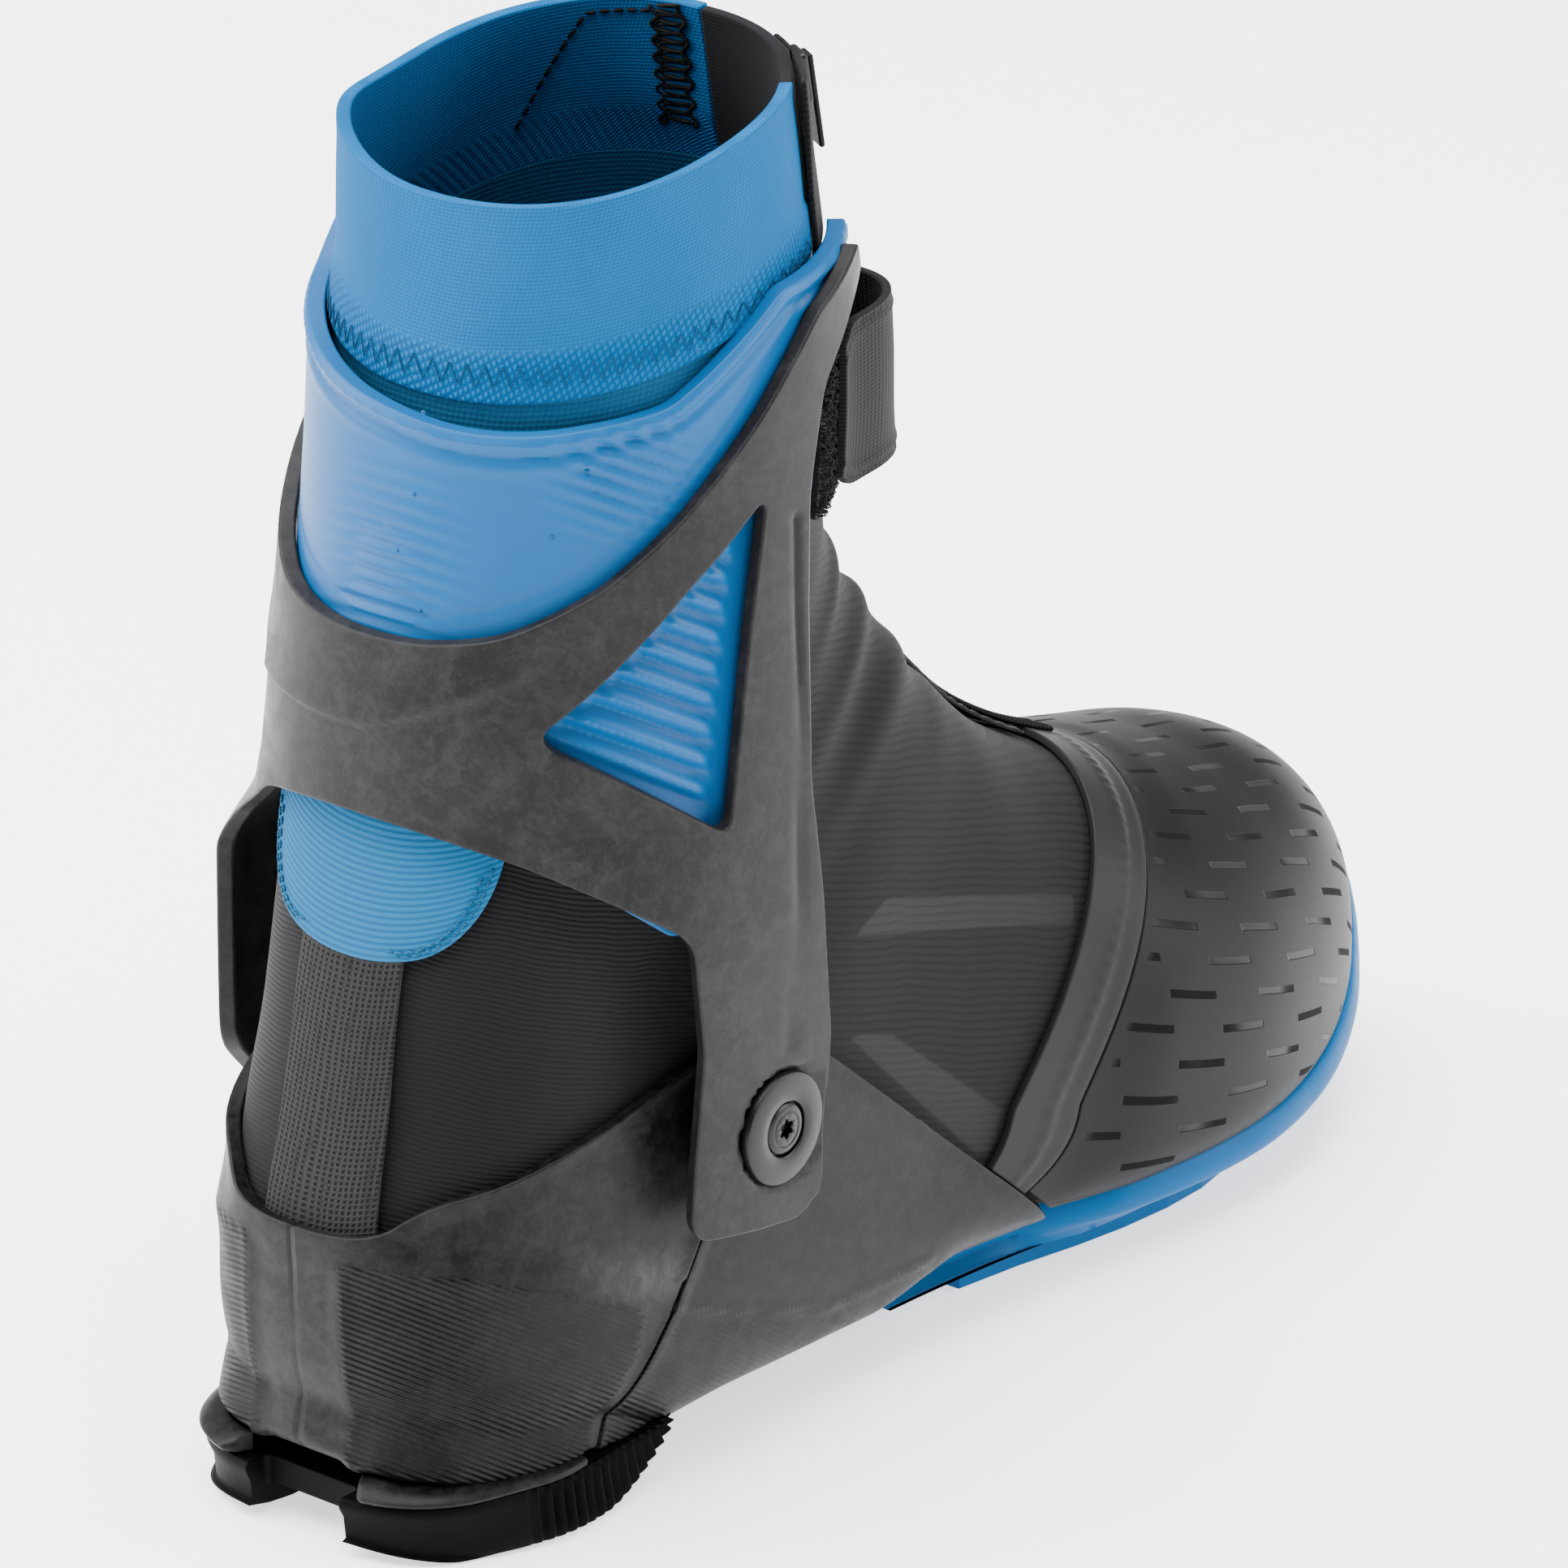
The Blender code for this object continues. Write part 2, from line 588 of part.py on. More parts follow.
def make_collar():
    elastic = form_shell("collar_elastic", "knit_blue", stations(14, RIM), turns(0, COLUMNS - 1),
                         0, KNIT_THICKNESS,
                         closed=True)
    keep_inside(elastic, between(SHAFT_LINE, SEAM_LINE))
    collar = form_shell("collar_knit", "knit_blue", stations(16, RIM), span(0.167, 1.0, 26),
                        0, KNIT_THICKNESS)
    gusset = form_shell("collar_gusset", "knit_black", stations(16, RIM), span(0.003, 0.163, 6),
                        0, KNIT_THICKNESS)
    flap = form_shell("collar_flap", "knit_black", stations(16, RIM - 0.1), span(*FLAP_TURNS, 4),
                      SKIN_GAP + SKIN_THICKNESS, SKIN_THICKNESS)
    tape = form_shell("zip_tape_collar", "laminate_black", stations(15, RIM - 0.1), span(0.068, 0.098, 3),
                      SKIN_GAP + SKIN_THICKNESS, SKIN_THICKNESS)
    for item in (collar, gusset, flap):
        keep_inside(item, above(SEAM_LINE))
    return [elastic, collar, gusset, flap, tape]


def make_hook_pad():
    pad = form_shell("strap_hook_pad", "knit_black", span(13.5, 19, 12), span(0.130, 0.190, 5),
                     STRAP_OFFSET + 1.2, 1.2)
    keep_inside(pad, [(-20, STRAP_LOW - 2, 0), (90, STRAP_LOW - 2, 0),
                      (90, STRAP_HIGH, 0), (-20, STRAP_HIGH, 0)])
    return pad


def make_strap_rivets():
    rivets = []
    for label, height in (("upper", 190), ("lower", 176)):
        seat = cuff_form(height, -1.50, 0.3)
        turn = Matrix.Rotation(math.pi / 2, 4, "Y")
        place = Matrix.Translation(mm(seat[0] + GAP, seat[1], height)) @ turn
        profile = [(0, 1.6), (2, 1.4), (3.4, 0.5), (3.4, 0), (0, 0)]
        rivets.append(turned("strap_rivet_" + label, "steel", profile,
                             place, 20))
    return rivets


def strap_offset(u):
    """Height of the strap's outer face: it lifts off at the lateral front and comes down on the pad."""
    base = STRAP_OFFSET + STRAP_THICKNESS
    if u < 0.0:
        return base
    landed = base + 2.0 * min(1, u / 0.12)
    return landed + STRAP_BULGE * math.sin(math.pi * u / STRAP_END) ** 2


def make_power_strap():
    rows = [[foot_form(t, u, strap_offset(u)) for u in span(STRAP_START, STRAP_END, 24)]
            for t in span(13.5, 20, 8)]
    strap = add_object("power_strap", grid_mesh("power_strap", rows), "knit_black")
    solidify(strap, STRAP_THICKNESS)
    keep_inside(strap, [(-30, STRAP_LOW, 0), (90, STRAP_LOW, 0), (90, STRAP_HIGH, 0), (-30, STRAP_HIGH, 0)])
    return strap


# ---------------------------------------------------------------- pivots and zip

def make_pivot(label, side):
    """Standoff on the counter, bolt through the arm and the screw in the bolt's head."""
    seat = PIVOT_ARM_FACE - PIVOT_RECESS_DEPTH + GAP
    boss_face = PIVOT_ARM_FACE - FRAME_THICKNESS - 0.8
    boss_depth = 3.0
    turned("pivot_boss_" + label, "carbon_composite",
           [(0, boss_depth), (9, boss_depth), (9.5, 0), (0, 0)], on_pivot(side, boss_face - boss_depth))
    shaft = seat - boss_face - GAP
    turned("pivot_bolt_" + label, "pivot_black",
           [(0, shaft + 0.5), (4.9, shaft + 0.5), (4.9, shaft + 1.5), (7.5, shaft + 1.6),
            (PIVOT_CAP_RADIUS, shaft + 1.0), (PIVOT_CAP_RADIUS, shaft), (PIVOT_SHAFT_RADIUS, shaft),
            (PIVOT_SHAFT_RADIUS, 0), (0, 0)], on_pivot(side, boss_face + GAP), 32)
    turned("pivot_screw_" + label, "steel",
           [(0, 0.3), (1.7, 0.3), (1.7, 0.8), (4.2, 0.7), (4.5, 0.3), (4.5, 0), (0, 0)],
           on_pivot(side, seat + 0.5 + GAP), 24)


def zip_frame(t):
    """Matrix on the zip line: Z out of the shaft, Y up along the zip."""
    low = Vector(foot_form(17.9, ZIP_TURN))
    high = Vector(foot_form(19.6, ZIP_TURN))
    up = (high - low).normalized()
    out = Vector(foot_form(18.8, ZIP_TURN, 1)) - Vector(foot_form(18.8, ZIP_TURN))
    side = up.cross(out).normalized()
    out = side.cross(up)
    base = Vector(foot_form(t, ZIP_TURN))
    axes = Matrix((side, up, out)).transposed().to_4x4()
    return Matrix.Translation(base * 0.001) @ axes


def rounded_box(name, material, size, centre, matrix, bevel):
    bpy.ops.mesh.primitive_cube_add(size=1)
    box = bpy.context.object
    for collection in list(box.users_collection):
        collection.objects.unlink(box)
    BOOT.objects.link(box)
    box.name = box.data.name = name
    box.data.transform(Matrix.Translation(mm(*centre)) @ Matrix.Diagonal((*mm(*size), 1)))
    box.matrix_world = matrix
    box.data.materials.append(MATERIALS[material])
    edges = box.modifiers.new("edges", "BEVEL")
    edges.width = bevel * 0.001
    edges.segments = 2
    edges.limit_method = "ANGLE"
    return box


def make_zip():
    base = zip_frame(19.45)
    slider = rounded_box("zip_slider", "steel", (6, 9, 2.2), (0, 0, 2.9), base, 0.6)
    hinge = base @ Matrix.Translation(mm(0, 3.2, 4.6))
    pull = rounded_box("zip_pull", "laminate_black", (4, 17, 1.0), (0, -8.0, 0.1), hinge, 0.4)
    return slider, pull


# ---------------------------------------------------------------- build

make_upper()
make_overlays()
make_heel()
make_trim()
make_insides()
make_toe_outsole()
make_forefoot_tread()
make_heel_tread()
make_pivot("lateral", -1)
make_pivot("medial", 1)
cuff_parts = [make_cuff_frame(), make_cuff_liner(), make_hook_pad(), *make_collar(), *make_strap_rivets()]
strap_part = make_power_strap()
slider_part, pull_part = make_zip()

cuff_axis = parent_empty("cuff_axis", mm(0, PIVOT_Y, PIVOT_Z))
hinge_point = foot_form(16.6, STRAP_START, STRAP_OFFSET)
strap_axis = parent_empty("strap_axis", mm(*hinge_point))
attach(cuff_parts, cuff_axis)
attach([strap_part], strap_axis)
attach([strap_axis, slider_part], cuff_axis)
attach([pull_part], slider_part)
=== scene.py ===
"""Looks of a cross-country skate boot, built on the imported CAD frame."""

import math

import bmesh
import bpy
import numpy as np
from mathutils import Matrix, Vector


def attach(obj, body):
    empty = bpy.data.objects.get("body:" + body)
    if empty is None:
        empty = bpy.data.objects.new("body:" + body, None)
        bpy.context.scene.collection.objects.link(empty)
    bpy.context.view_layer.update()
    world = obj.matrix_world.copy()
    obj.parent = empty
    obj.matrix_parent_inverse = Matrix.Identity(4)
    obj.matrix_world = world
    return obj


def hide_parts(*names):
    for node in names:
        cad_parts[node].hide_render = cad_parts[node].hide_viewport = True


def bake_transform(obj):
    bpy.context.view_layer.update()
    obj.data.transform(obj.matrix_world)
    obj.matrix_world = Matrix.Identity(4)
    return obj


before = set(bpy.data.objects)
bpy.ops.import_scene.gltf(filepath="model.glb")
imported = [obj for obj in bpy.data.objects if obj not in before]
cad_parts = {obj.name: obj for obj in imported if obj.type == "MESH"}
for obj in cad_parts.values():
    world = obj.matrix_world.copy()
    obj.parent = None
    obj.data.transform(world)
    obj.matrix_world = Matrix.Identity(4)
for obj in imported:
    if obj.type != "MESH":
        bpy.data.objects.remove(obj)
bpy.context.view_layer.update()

MM = 0.001
STUDIO_TONE = 0.34        # of every colour on the boot, against the white floor
LOWER, CUFF, STRAP = "boot_lower", "cuff", "strap"

# ---------------------------------------------------------------- the boot's surfaces, in millimetres

# Foot form: top y, top z, bottom y, bottom z, half width, side shift, share of the depth where it is widest,
# roundness of the upper half, squareness of the lower half.
STATIONS = np.array([
    (-140, 31, -140, 25, 7, 5, .60, 2.2, 2.6),
    (-137, 47, -137, 18, 20, 5, .62, 2.2, 3.0),
    (-127, 60, -127, 15, 29, 4, .66, 2.2, 3.6),
    (-111, 68, -111, 14, 38, 2, .70, 2.2, 4.4),
    (-90, 73.5, -90, 13, 45, 0, .72, 2.2, 4.8),
    (-68, 80, -66, 13, 48, -2, .74, 2.2, 5.0),
    (-46, 89.5, -38, 13, 47, -2, .74, 2.2, 5.0),
    (-31, 99, -8, 13.5, 44, 0, .72, 2.2, 5.0),
    (-19, 110, 26, 13.5, 41, 0, .68, 2.2, 5.0),
    (-9, 120, 62, 13.5, 40, 0, .64, 2.2, 4.8),
    (-1, 131, 96, 13.5, 39, 0, .60, 2.2, 4.4),
    (6, 141, 123, 15, 37.5, 0, .58, 2.2, 3.6),
    (11, 151, 136, 27, 36.5, 0, .56, 2.2, 2.9),
    (14, 160, 137.5, 52, 36, 0, .54, 2.2, 2.5),
    (17, 168, 131, 76, 36.5, 0, .52, 2.2, 2.3),
    (20, 179, 125, 98, 37.5, 0, .50, 2.2, 2.2),
    (22, 192, 116.5, 124, 39, 0, .50, 2.2, 2.2),
    (24, 205, 111, 152, 39.5, 0, .50, 2.2, 2.2),
    (26.5, 218, 107, 180, 39.5, 0, .50, 2.2, 2.2),
    (29, 231, 104.5, 206, 38.5, 0, .50, 2.2, 2.2),
    (31.5, 245, 104, 230, 37.5, 0, .50, 2.2, 2.2),
], float)
RIM = len(STATIONS) - 1
TABLE = np.vstack([2 * STATIONS[0] - STATIONS[1], STATIONS, 2 * STATIONS[-1] - STATIONS[-2]])

# Cuff: height, back, half width, squareness.
CUFF_LEVELS = np.array([
    (40, 124, 50.5, 3.2), (64, 124, 49.3, 3.0), (104, 124, 49.0, 2.6), (126, 122, 47.5, 2.3),
    (155, 119, 46.0, 2.2), (180, 115.5, 45.5, 2.2), (220, 111, 45.5, 2.2),
], float)
CUFF_MIDDLE, CUFF_FRONT = 62, 44          # y of the cuff's middle, and how far it reaches to the front of it
PIVOT_Y, PIVOT_Z = 70.5, 64.8
# How much slimmer the medial side is, by station.
MEDIAL_T = [8, 10.5, 12.5, 14.5, 16, 17.5, 19, 21]
MEDIAL_SLIM = [0, 0.05, 0.085, 0.02, -0.045, -0.02, 0.05, 0.115]


def station_rows(t):
    t = np.clip(np.asarray(t, float), 0, RIM)
    i = np.minimum(t.astype(int), RIM - 1)
    f = (t - i)[..., None]
    before, first, second, after = (TABLE[i + k] for k in range(4))
    return 0.5 * (2 * first + (second - before) * f
                  + (2 * before - 5 * first + 4 * second - after) * f ** 2
                  + (3 * first - before - 3 * second + after) * f ** 3)


def form(t, u):
    """Point of the foot form; u counts turns from the top (front), 0.25 is lateral."""
    t, u = np.broadcast_arrays(np.asarray(t, float), np.asarray(u, float))
    top_y, top_z, low_y, low_z, width, shift, widest, upper, lower = np.moveaxis(station_rows(t), -1, 0)
    c, s = np.cos(2 * np.pi * u), np.sin(2 * np.pi * u)
    power = 2 / np.where(c > 0, upper, lower)
    rise = np.abs(c) ** power
    depth = np.where(c > 0, widest * (1 - rise), widest + (1 - widest) * rise)
    x = shift - width * np.sign(s) * np.abs(s) ** power
    x = np.where(x > 0, x * (1 - np.interp(t, MEDIAL_T, MEDIAL_SLIM)), x)
    return np.stack([x, top_y + (low_y - top_y) * depth, top_z + (low_z - top_z) * depth], -1)


def form_normal(t, u):
    t, u = np.asarray(t, float), np.asarray(u, float)
    along = form(np.minimum(t + 2e-3, RIM), u) - form(np.maximum(t - 2e-3, 0), u)
    across = form(t, u + 1e-3) - form(t, u - 1e-3)
    normal = np.cross(along, across)
    return unit(normal)


def smooth(x):
    """Soft step from 0 to 1."""
    x = np.clip(x, 0, 1)
    return x * x * (3 - 2 * x)


def bell(x, width):
    """1 where x is 0, falling away over a width."""
    return np.exp(-(x / width) ** 2)


def spread(rows, columns):
    """Grids of row and column values, each given as (first, last, count)."""
    return np.meshgrid(np.linspace(*rows), np.linspace(*columns), indexing="ij")


def unit(vectors):
    """The same directions at length 1."""
    return vectors / np.linalg.norm(vectors, axis=-1, keepdims=True)


# Share of the way round each section, by length, against u: columns spaced evenly on the boot.
CHART_T = np.linspace(0, RIM, 161)
CHART_F = np.linspace(0, 1, 721)


def make_chart():
    fine = np.linspace(0, 1, 4001)
    fine = fine - 0.9 * np.sin(8 * np.pi * fine) / (8 * np.pi)
    chart = []
    for t in CHART_T:
        steps = np.linalg.norm(np.diff(form(t, fine), axis=0), axis=1)
        length = np.concatenate([[0], np.cumsum(steps)])
        chart.append(np.interp(CHART_F, length / length[-1], fine))
    return np.array(chart)


CHART_U = make_chart()


def turn_at(t, f):
    """u of the point a share f of the way round the section at t; f may pass 0 and 1."""
    t, f = np.broadcast_arrays(np.asarray(t, float), np.asarray(f, float))
    whole = np.floor(f)
    a = np.clip(t / RIM, 0, 1) * (len(CHART_T) - 1)
    b = (f - whole) * (len(CHART_F) - 1)
    i = np.minimum(a.astype(int), len(CHART_T) - 2)
    j = np.minimum(b.astype(int), len(CHART_F) - 2)
    a, b = a - i, b - j
    return whole + ((CHART_U[i, j] * (1 - b) + CHART_U[i, j + 1] * b) * (1 - a)
                    + (CHART_U[i + 1, j] * (1 - b) + CHART_U[i + 1, j + 1] * b) * a)


def foot(t, f, offset=0.0):
    """Point of the foot form at an even share f round it, moved out by offset."""
    u = turn_at(t, f)
    return form(t, u) + np.asarray(offset, float)[..., None] * form_normal(t, u)


def cuff(a, z, offset=0.0):
    """Point of the cuff's outer face; angle a is 0 at the back and positive on the lateral side."""
    a, z, offset = np.broadcast_arrays(*(np.asarray(v, float) for v in (a, z, offset)))
    levels = CUFF_LEVELS.T
    back = np.interp(z, levels[0], levels[1]) + offset
    width = np.interp(z, levels[0], levels[2]) + offset
    power = 2 / np.interp(z, levels[0], levels[3])
    c, s = np.cos(a), np.sin(a)
    reach = np.where(c > 0, back - CUFF_MIDDLE, CUFF_FRONT + offset)
    return np.stack([-width * np.sign(s) * np.abs(s) ** power,
                     CUFF_MIDDLE + reach * np.sign(c) * np.abs(c) ** power, z], -1)


def length_along(points):
    """Running length of each row of points, in millimetres."""
    steps = np.linalg.norm(np.diff(points, axis=-2), axis=-1)
    return np.concatenate([np.zeros(steps.shape[:-1] + (1,)), np.cumsum(steps, -1)], -1)


def plan_points(line, spots):
    """Points of a line in the plan view at distances along it."""
    run = length_along(line)
    return np.stack([np.interp(spots, run, line[:, k]) for k in (0, 1)], -1)


# ---------------------------------------------------------------- meshes

def new_object(name, mesh, material=None):
    item = bpy.data.objects.new(name, mesh)
    bpy.context.scene.collection.objects.link(item)
    if material:
        mesh.materials.append(material)
    return item


def store(mesh, name, values, kind="FLOAT_VECTOR"):
    """Keeps one value for each vertex for the shaders."""
    attribute = mesh.attributes.new(name, kind, "POINT")
    key = "vector" if kind == "FLOAT_VECTOR" else "value"
    attribute.data.foreach_set(key, np.asarray(values, np.float32).ravel())


def mesh_from(name, points, faces, **extra):
    """Mesh from points in millimetres; extra per-vertex values become attributes."""
    mesh = bpy.data.meshes.new(name)
    mesh.from_pydata((np.asarray(points) * MM).tolist(), [], faces)
    for key, values in extra.items():
        values = np.asarray(values, float)
        store(mesh, key, values, "FLOAT_VECTOR" if values.ndim == 2 else "FLOAT")
    mesh.validate()
    mesh.update()
    return mesh


def turned_outwards(mesh):
    """The same closed mesh with all its faces turned outwards."""
    bm = bmesh.new()
    bm.from_mesh(mesh)
    bmesh.ops.recalc_face_normals(bm, faces=bm.faces)
    bm.to_mesh(mesh)
    bm.free()
    return mesh


def shade(item, angle=35):
    item.data.shade_smooth()
    item.data.set_sharp_from_angle(angle=math.radians(angle))
    return item


def grid_faces(rows, columns, closed=False, start=0, flip=False):
    faces = []
    for i in range(rows - 1):
        for j in range(columns if closed else columns - 1):
            k = (j + 1) % columns
            face = (start + i * columns + j, start + (i + 1) * columns + j,
                    start + (i + 1) * columns + k, start + i * columns + k)
            faces.append(face[::-1] if flip else face)
    return faces


def sheet_solid(name, material, outer, inner, closed=False, edge=None, **extra):
    """Closed shell between two grids of points. Columns may close; edge rounds the rim rows."""
    rows, columns = outer.shape[:2]
    count = rows * columns
    points = np.concatenate([outer.reshape(-1, 3), inner.reshape(-1, 3)])
    faces = grid_faces(rows, columns, closed) + grid_faces(rows, columns, closed, count, True)

    def wall(line, flip):
        for a, b in zip(line, line[1:]):
            face = (a, b, b + count, a + count)
            faces.append(face[::-1] if flip else face)

    first = list(range(columns)) + ([0] if closed else [])
    wall(first, False)
    wall([(rows - 1) * columns + j for j in first], True)
    if not closed:
        wall([i * columns for i in range(rows)], True)
        wall([i * columns + columns - 1 for i in range(rows)], False)
    doubled = {key: np.concatenate([np.asarray(v, float).reshape((count, -1))] * 2).squeeze()
               for key, v in extra.items()}
    doubled["inside"] = np.repeat([0.0, 1.0], count)
    item = new_object(name, mesh_from(name, points, faces, **doubled), material)
    if edge:
        bevel(item, edge)
    return shade(item)


def bevel(item, width, segments=2, angle=50):
    modifier = item.modifiers.new("edges", "BEVEL")
    modifier.width = width * MM
    modifier.segments = segments
    modifier.limit_method = "ANGLE"
    modifier.angle_limit = math.radians(angle)
    modifier.use_clamp_overlap = True
    return item


def polygon_distance(points, polygon):
    """Signed distance in the plane, positive inside."""
    px, py = points[..., 0], points[..., 1]
    best = np.full(px.shape, 1e9)
    inside = np.zeros(px.shape, bool)
    for (ax, ay), (bx, by) in zip(polygon, np.roll(polygon, -1, axis=0)):
        dx, dy = bx - ax, by - ay
        h = np.clip(((px - ax) * dx + (py - ay) * dy) / max(dx * dx + dy * dy, 1e-12), 0, 1)
        best = np.minimum(best, np.hypot(px - ax - h * dx, py - ay - h * dy))
        crosses = (ay > py) != (by > py)
        inside ^= crosses & (px < (bx - ax) * (py - ay) / (by - ay if by != ay else 1e-12) + ax)
    return np.where(inside, best, -best)


def rounded(corners, steps=6):
    """Outline with each corner (a, b, radius) rounded."""
    points = []
    corners = [tuple(corner) + (0,) * (3 - len(corner)) for corner in corners]
    for i, (a, b, radius) in enumerate(corners):
        corner = np.array((a, b), float)
        before = np.array(corners[i - 1][:2]) - corner
        after = np.array(corners[(i + 1) % len(corners)][:2]) - corner
        if radius == 0:
            points.append(corner)
            continue
        lb, la = np.linalg.norm(before), np.linalg.norm(after)
        half = math.acos(np.clip(before @ after / (lb * la), -1, 1)) / 2
        reach = min(radius / math.tan(half), 0.48 * lb, 0.48 * la)
        start, end = corner + before / lb * reach, corner + after / la * reach
        for f in np.linspace(0, 1, steps + 1):
            points.append(start * (1 - f) ** 2 + corner * 2 * f * (1 - f) + end * f ** 2)
    return np.array(points)


def within(outline):
    """A keep function for clipped_shell: the inside of an outline in the side view."""
    return lambda points, a, b: polygon_distance(points[..., 1:], outline)


def clipped_shell(name, material, a, b, surface, keep, thickness, relief=None, edge=0.4, marks=None):
    """Shell on a surface, cut cleanly along the line where keep(points, a, b) is 0.

    a, b are grids of parameters and surface(a, b, offset) gives points in millimetres.
    relief(a, b, points, distance) gives an extra height of the outer face, and marks(a, b, points)
    gives values kept for the shaders.
    """
    a, b = np.array(a, float), np.array(b, float)
    distance = keep(surface(a, b, 0.0), a, b)
    rows, columns = a.shape
    # Grid points close to the cut move onto it, so that no sliver faces are left.
    points = surface(a, b, 0.0)
    pitch = 0.5 * (np.linalg.norm(np.diff(points, axis=0), axis=-1).mean()
                   + np.linalg.norm(np.diff(points, axis=1), axis=-1).mean())
    gi, gj = np.gradient(distance)
    steepness = gi ** 2 + gj ** 2 + 1e-9
    mi, mj = -distance * gi / steepness, -distance * gj / steepness
    near = (np.abs(mi) < 0.42) & (np.abs(mj) < 0.42) & (np.abs(distance) < pitch)
    index_i, index_j = np.indices(a.shape)
    index_i = np.clip(index_i + np.where(near, mi, 0), 0, rows - 1)
    index_j = np.clip(index_j + np.where(near, mj, 0), 0, columns - 1)

    def sample(values, i, j):
        i0 = np.minimum(i.astype(int), rows - 2)
        j0 = np.minimum(j.astype(int), columns - 2)
        p, q = i - i0, j - j0
        return ((values[i0, j0] * (1 - p) + values[i0 + 1, j0] * p) * (1 - q)
                + (values[i0, j0 + 1] * (1 - p) + values[i0 + 1, j0 + 1] * p) * q)

    a, b = sample(a, index_i, index_j), sample(b, index_i, index_j)
    level = np.where(near, 0.0, keep(surface(a, b, 0.0), a, b))
    flat_a, flat_b, flat = list(a.ravel()), list(b.ravel()), list(level.ravel())
    cuts, faces = {}, []

    def cut(p, q):
        key = (min(p, q), max(p, q))
        if key not in cuts:
            f = flat[p] / (flat[p] - flat[q])
            cuts[key] = len(flat_a)
            flat_a.append(flat_a[p] + (flat_a[q] - flat_a[p]) * f)
            flat_b.append(flat_b[p] + (flat_b[q] - flat_b[p]) * f)
        return cuts[key]

    for i in range(rows - 1):
        for j in range(columns - 1):
            corners = (i * columns + j, (i + 1) * columns + j, (i + 1) * columns + j + 1,
                       i * columns + j + 1)
            values = [flat[k] for k in corners]
            if max(values) <= 0:
                continue
            if min(values) >= 0:
                faces.append(corners)
                continue
            face = []
            for k in range(4):
                p, q = corners[k], corners[(k + 1) % 4]
                if flat[p] >= 0:
                    face.append(p)
                if flat[p] * flat[q] < 0:
                    face.append(cut(p, q))
            if len(face) > 2:
                faces.append(tuple(face))
    used = sorted({k for face in faces for k in face})
    place = {k: n for n, k in enumerate(used)}
    faces = [tuple(place[k] for k in face) for face in faces]
    a, b = np.array(flat_a)[used], np.array(flat_b)[used]
    base = surface(a, b, 0.0)
    depth = keep(base, a, b)
    height = relief(a, b, base, depth) if relief else np.zeros(len(a))
    outer, inner = surface(a, b, height), surface(a, b, -thickness)
    count = len(a)
    edges = {}
    for face in faces:
        for p, q in zip(face, face[1:] + face[:1]):
            edges[(p, q)] = True
    walls = [(q, p, p + count, q + count) for p, q in edges if (q, p) not in edges]
    all_faces = faces + [tuple(k + count for k in reversed(face)) for face in faces] + walls
    extra = {"depth": np.concatenate([depth, depth]), "inside": np.repeat([0.0, 1.0], count)}
    for key, values in (marks(a, b, base) if marks else {}).items():
        extra[key] = np.concatenate([values, values])
    item = new_object(name, mesh_from(name, np.concatenate([outer, inner]), all_faces, **extra), material)
    if edge:
        bevel(item, edge)
    return shade(item)


def turned(name, material, profile, matrix, steps):
    """Profile of (radius, height) pairs from the top down, turned about Z."""
    angles = np.linspace(0, 2 * np.pi, steps, endpoint=False)
    profile = np.array(profile, float)
    rings = [(r, z) for r, z in profile if r > 1e-6]
    points = [(r * math.cos(a), r * math.sin(a), z) for r, z in rings for a in angles]
    faces = grid_faces(len(rings), steps, True)
    if profile[0][0] < 1e-6:
        points.append((0, 0, profile[0][1]))
        faces += [(j, (j + 1) % steps, len(points) - 1) for j in range(steps)]
    if profile[-1][0] < 1e-6:
        points.append((0, 0, profile[-1][1]))
        last = (len(rings) - 1) * steps
        faces += [(last + (j + 1) % steps, last + j, len(points) - 1) for j in range(steps)]
    mesh = mesh_from(name, points, faces)
    mesh.transform(matrix)
    return shade(new_object(name, mesh, material))


def finish_piece(item, body, nodes=(), padded=None):
    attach(item, body)
    if nodes:
        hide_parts(*nodes)
    return item


# ---------------------------------------------------------------- shader helpers

class Value:
    """A number or vector made by a node, which can be added, subtracted and multiplied."""

    def __init__(self, shader, socket):
        self.shader, self.socket = shader, socket

    def __add__(self, other):
        return self.shader.math("ADD", self, other)

    def __sub__(self, other):
        return self.shader.math("SUBTRACT", self, other)

    def __rsub__(self, other):
        return self.shader.math("SUBTRACT", other, self)

    def __mul__(self, other):
        return self.shader.math("MULTIPLY", self, other)

    __radd__, __rmul__ = __add__, __mul__


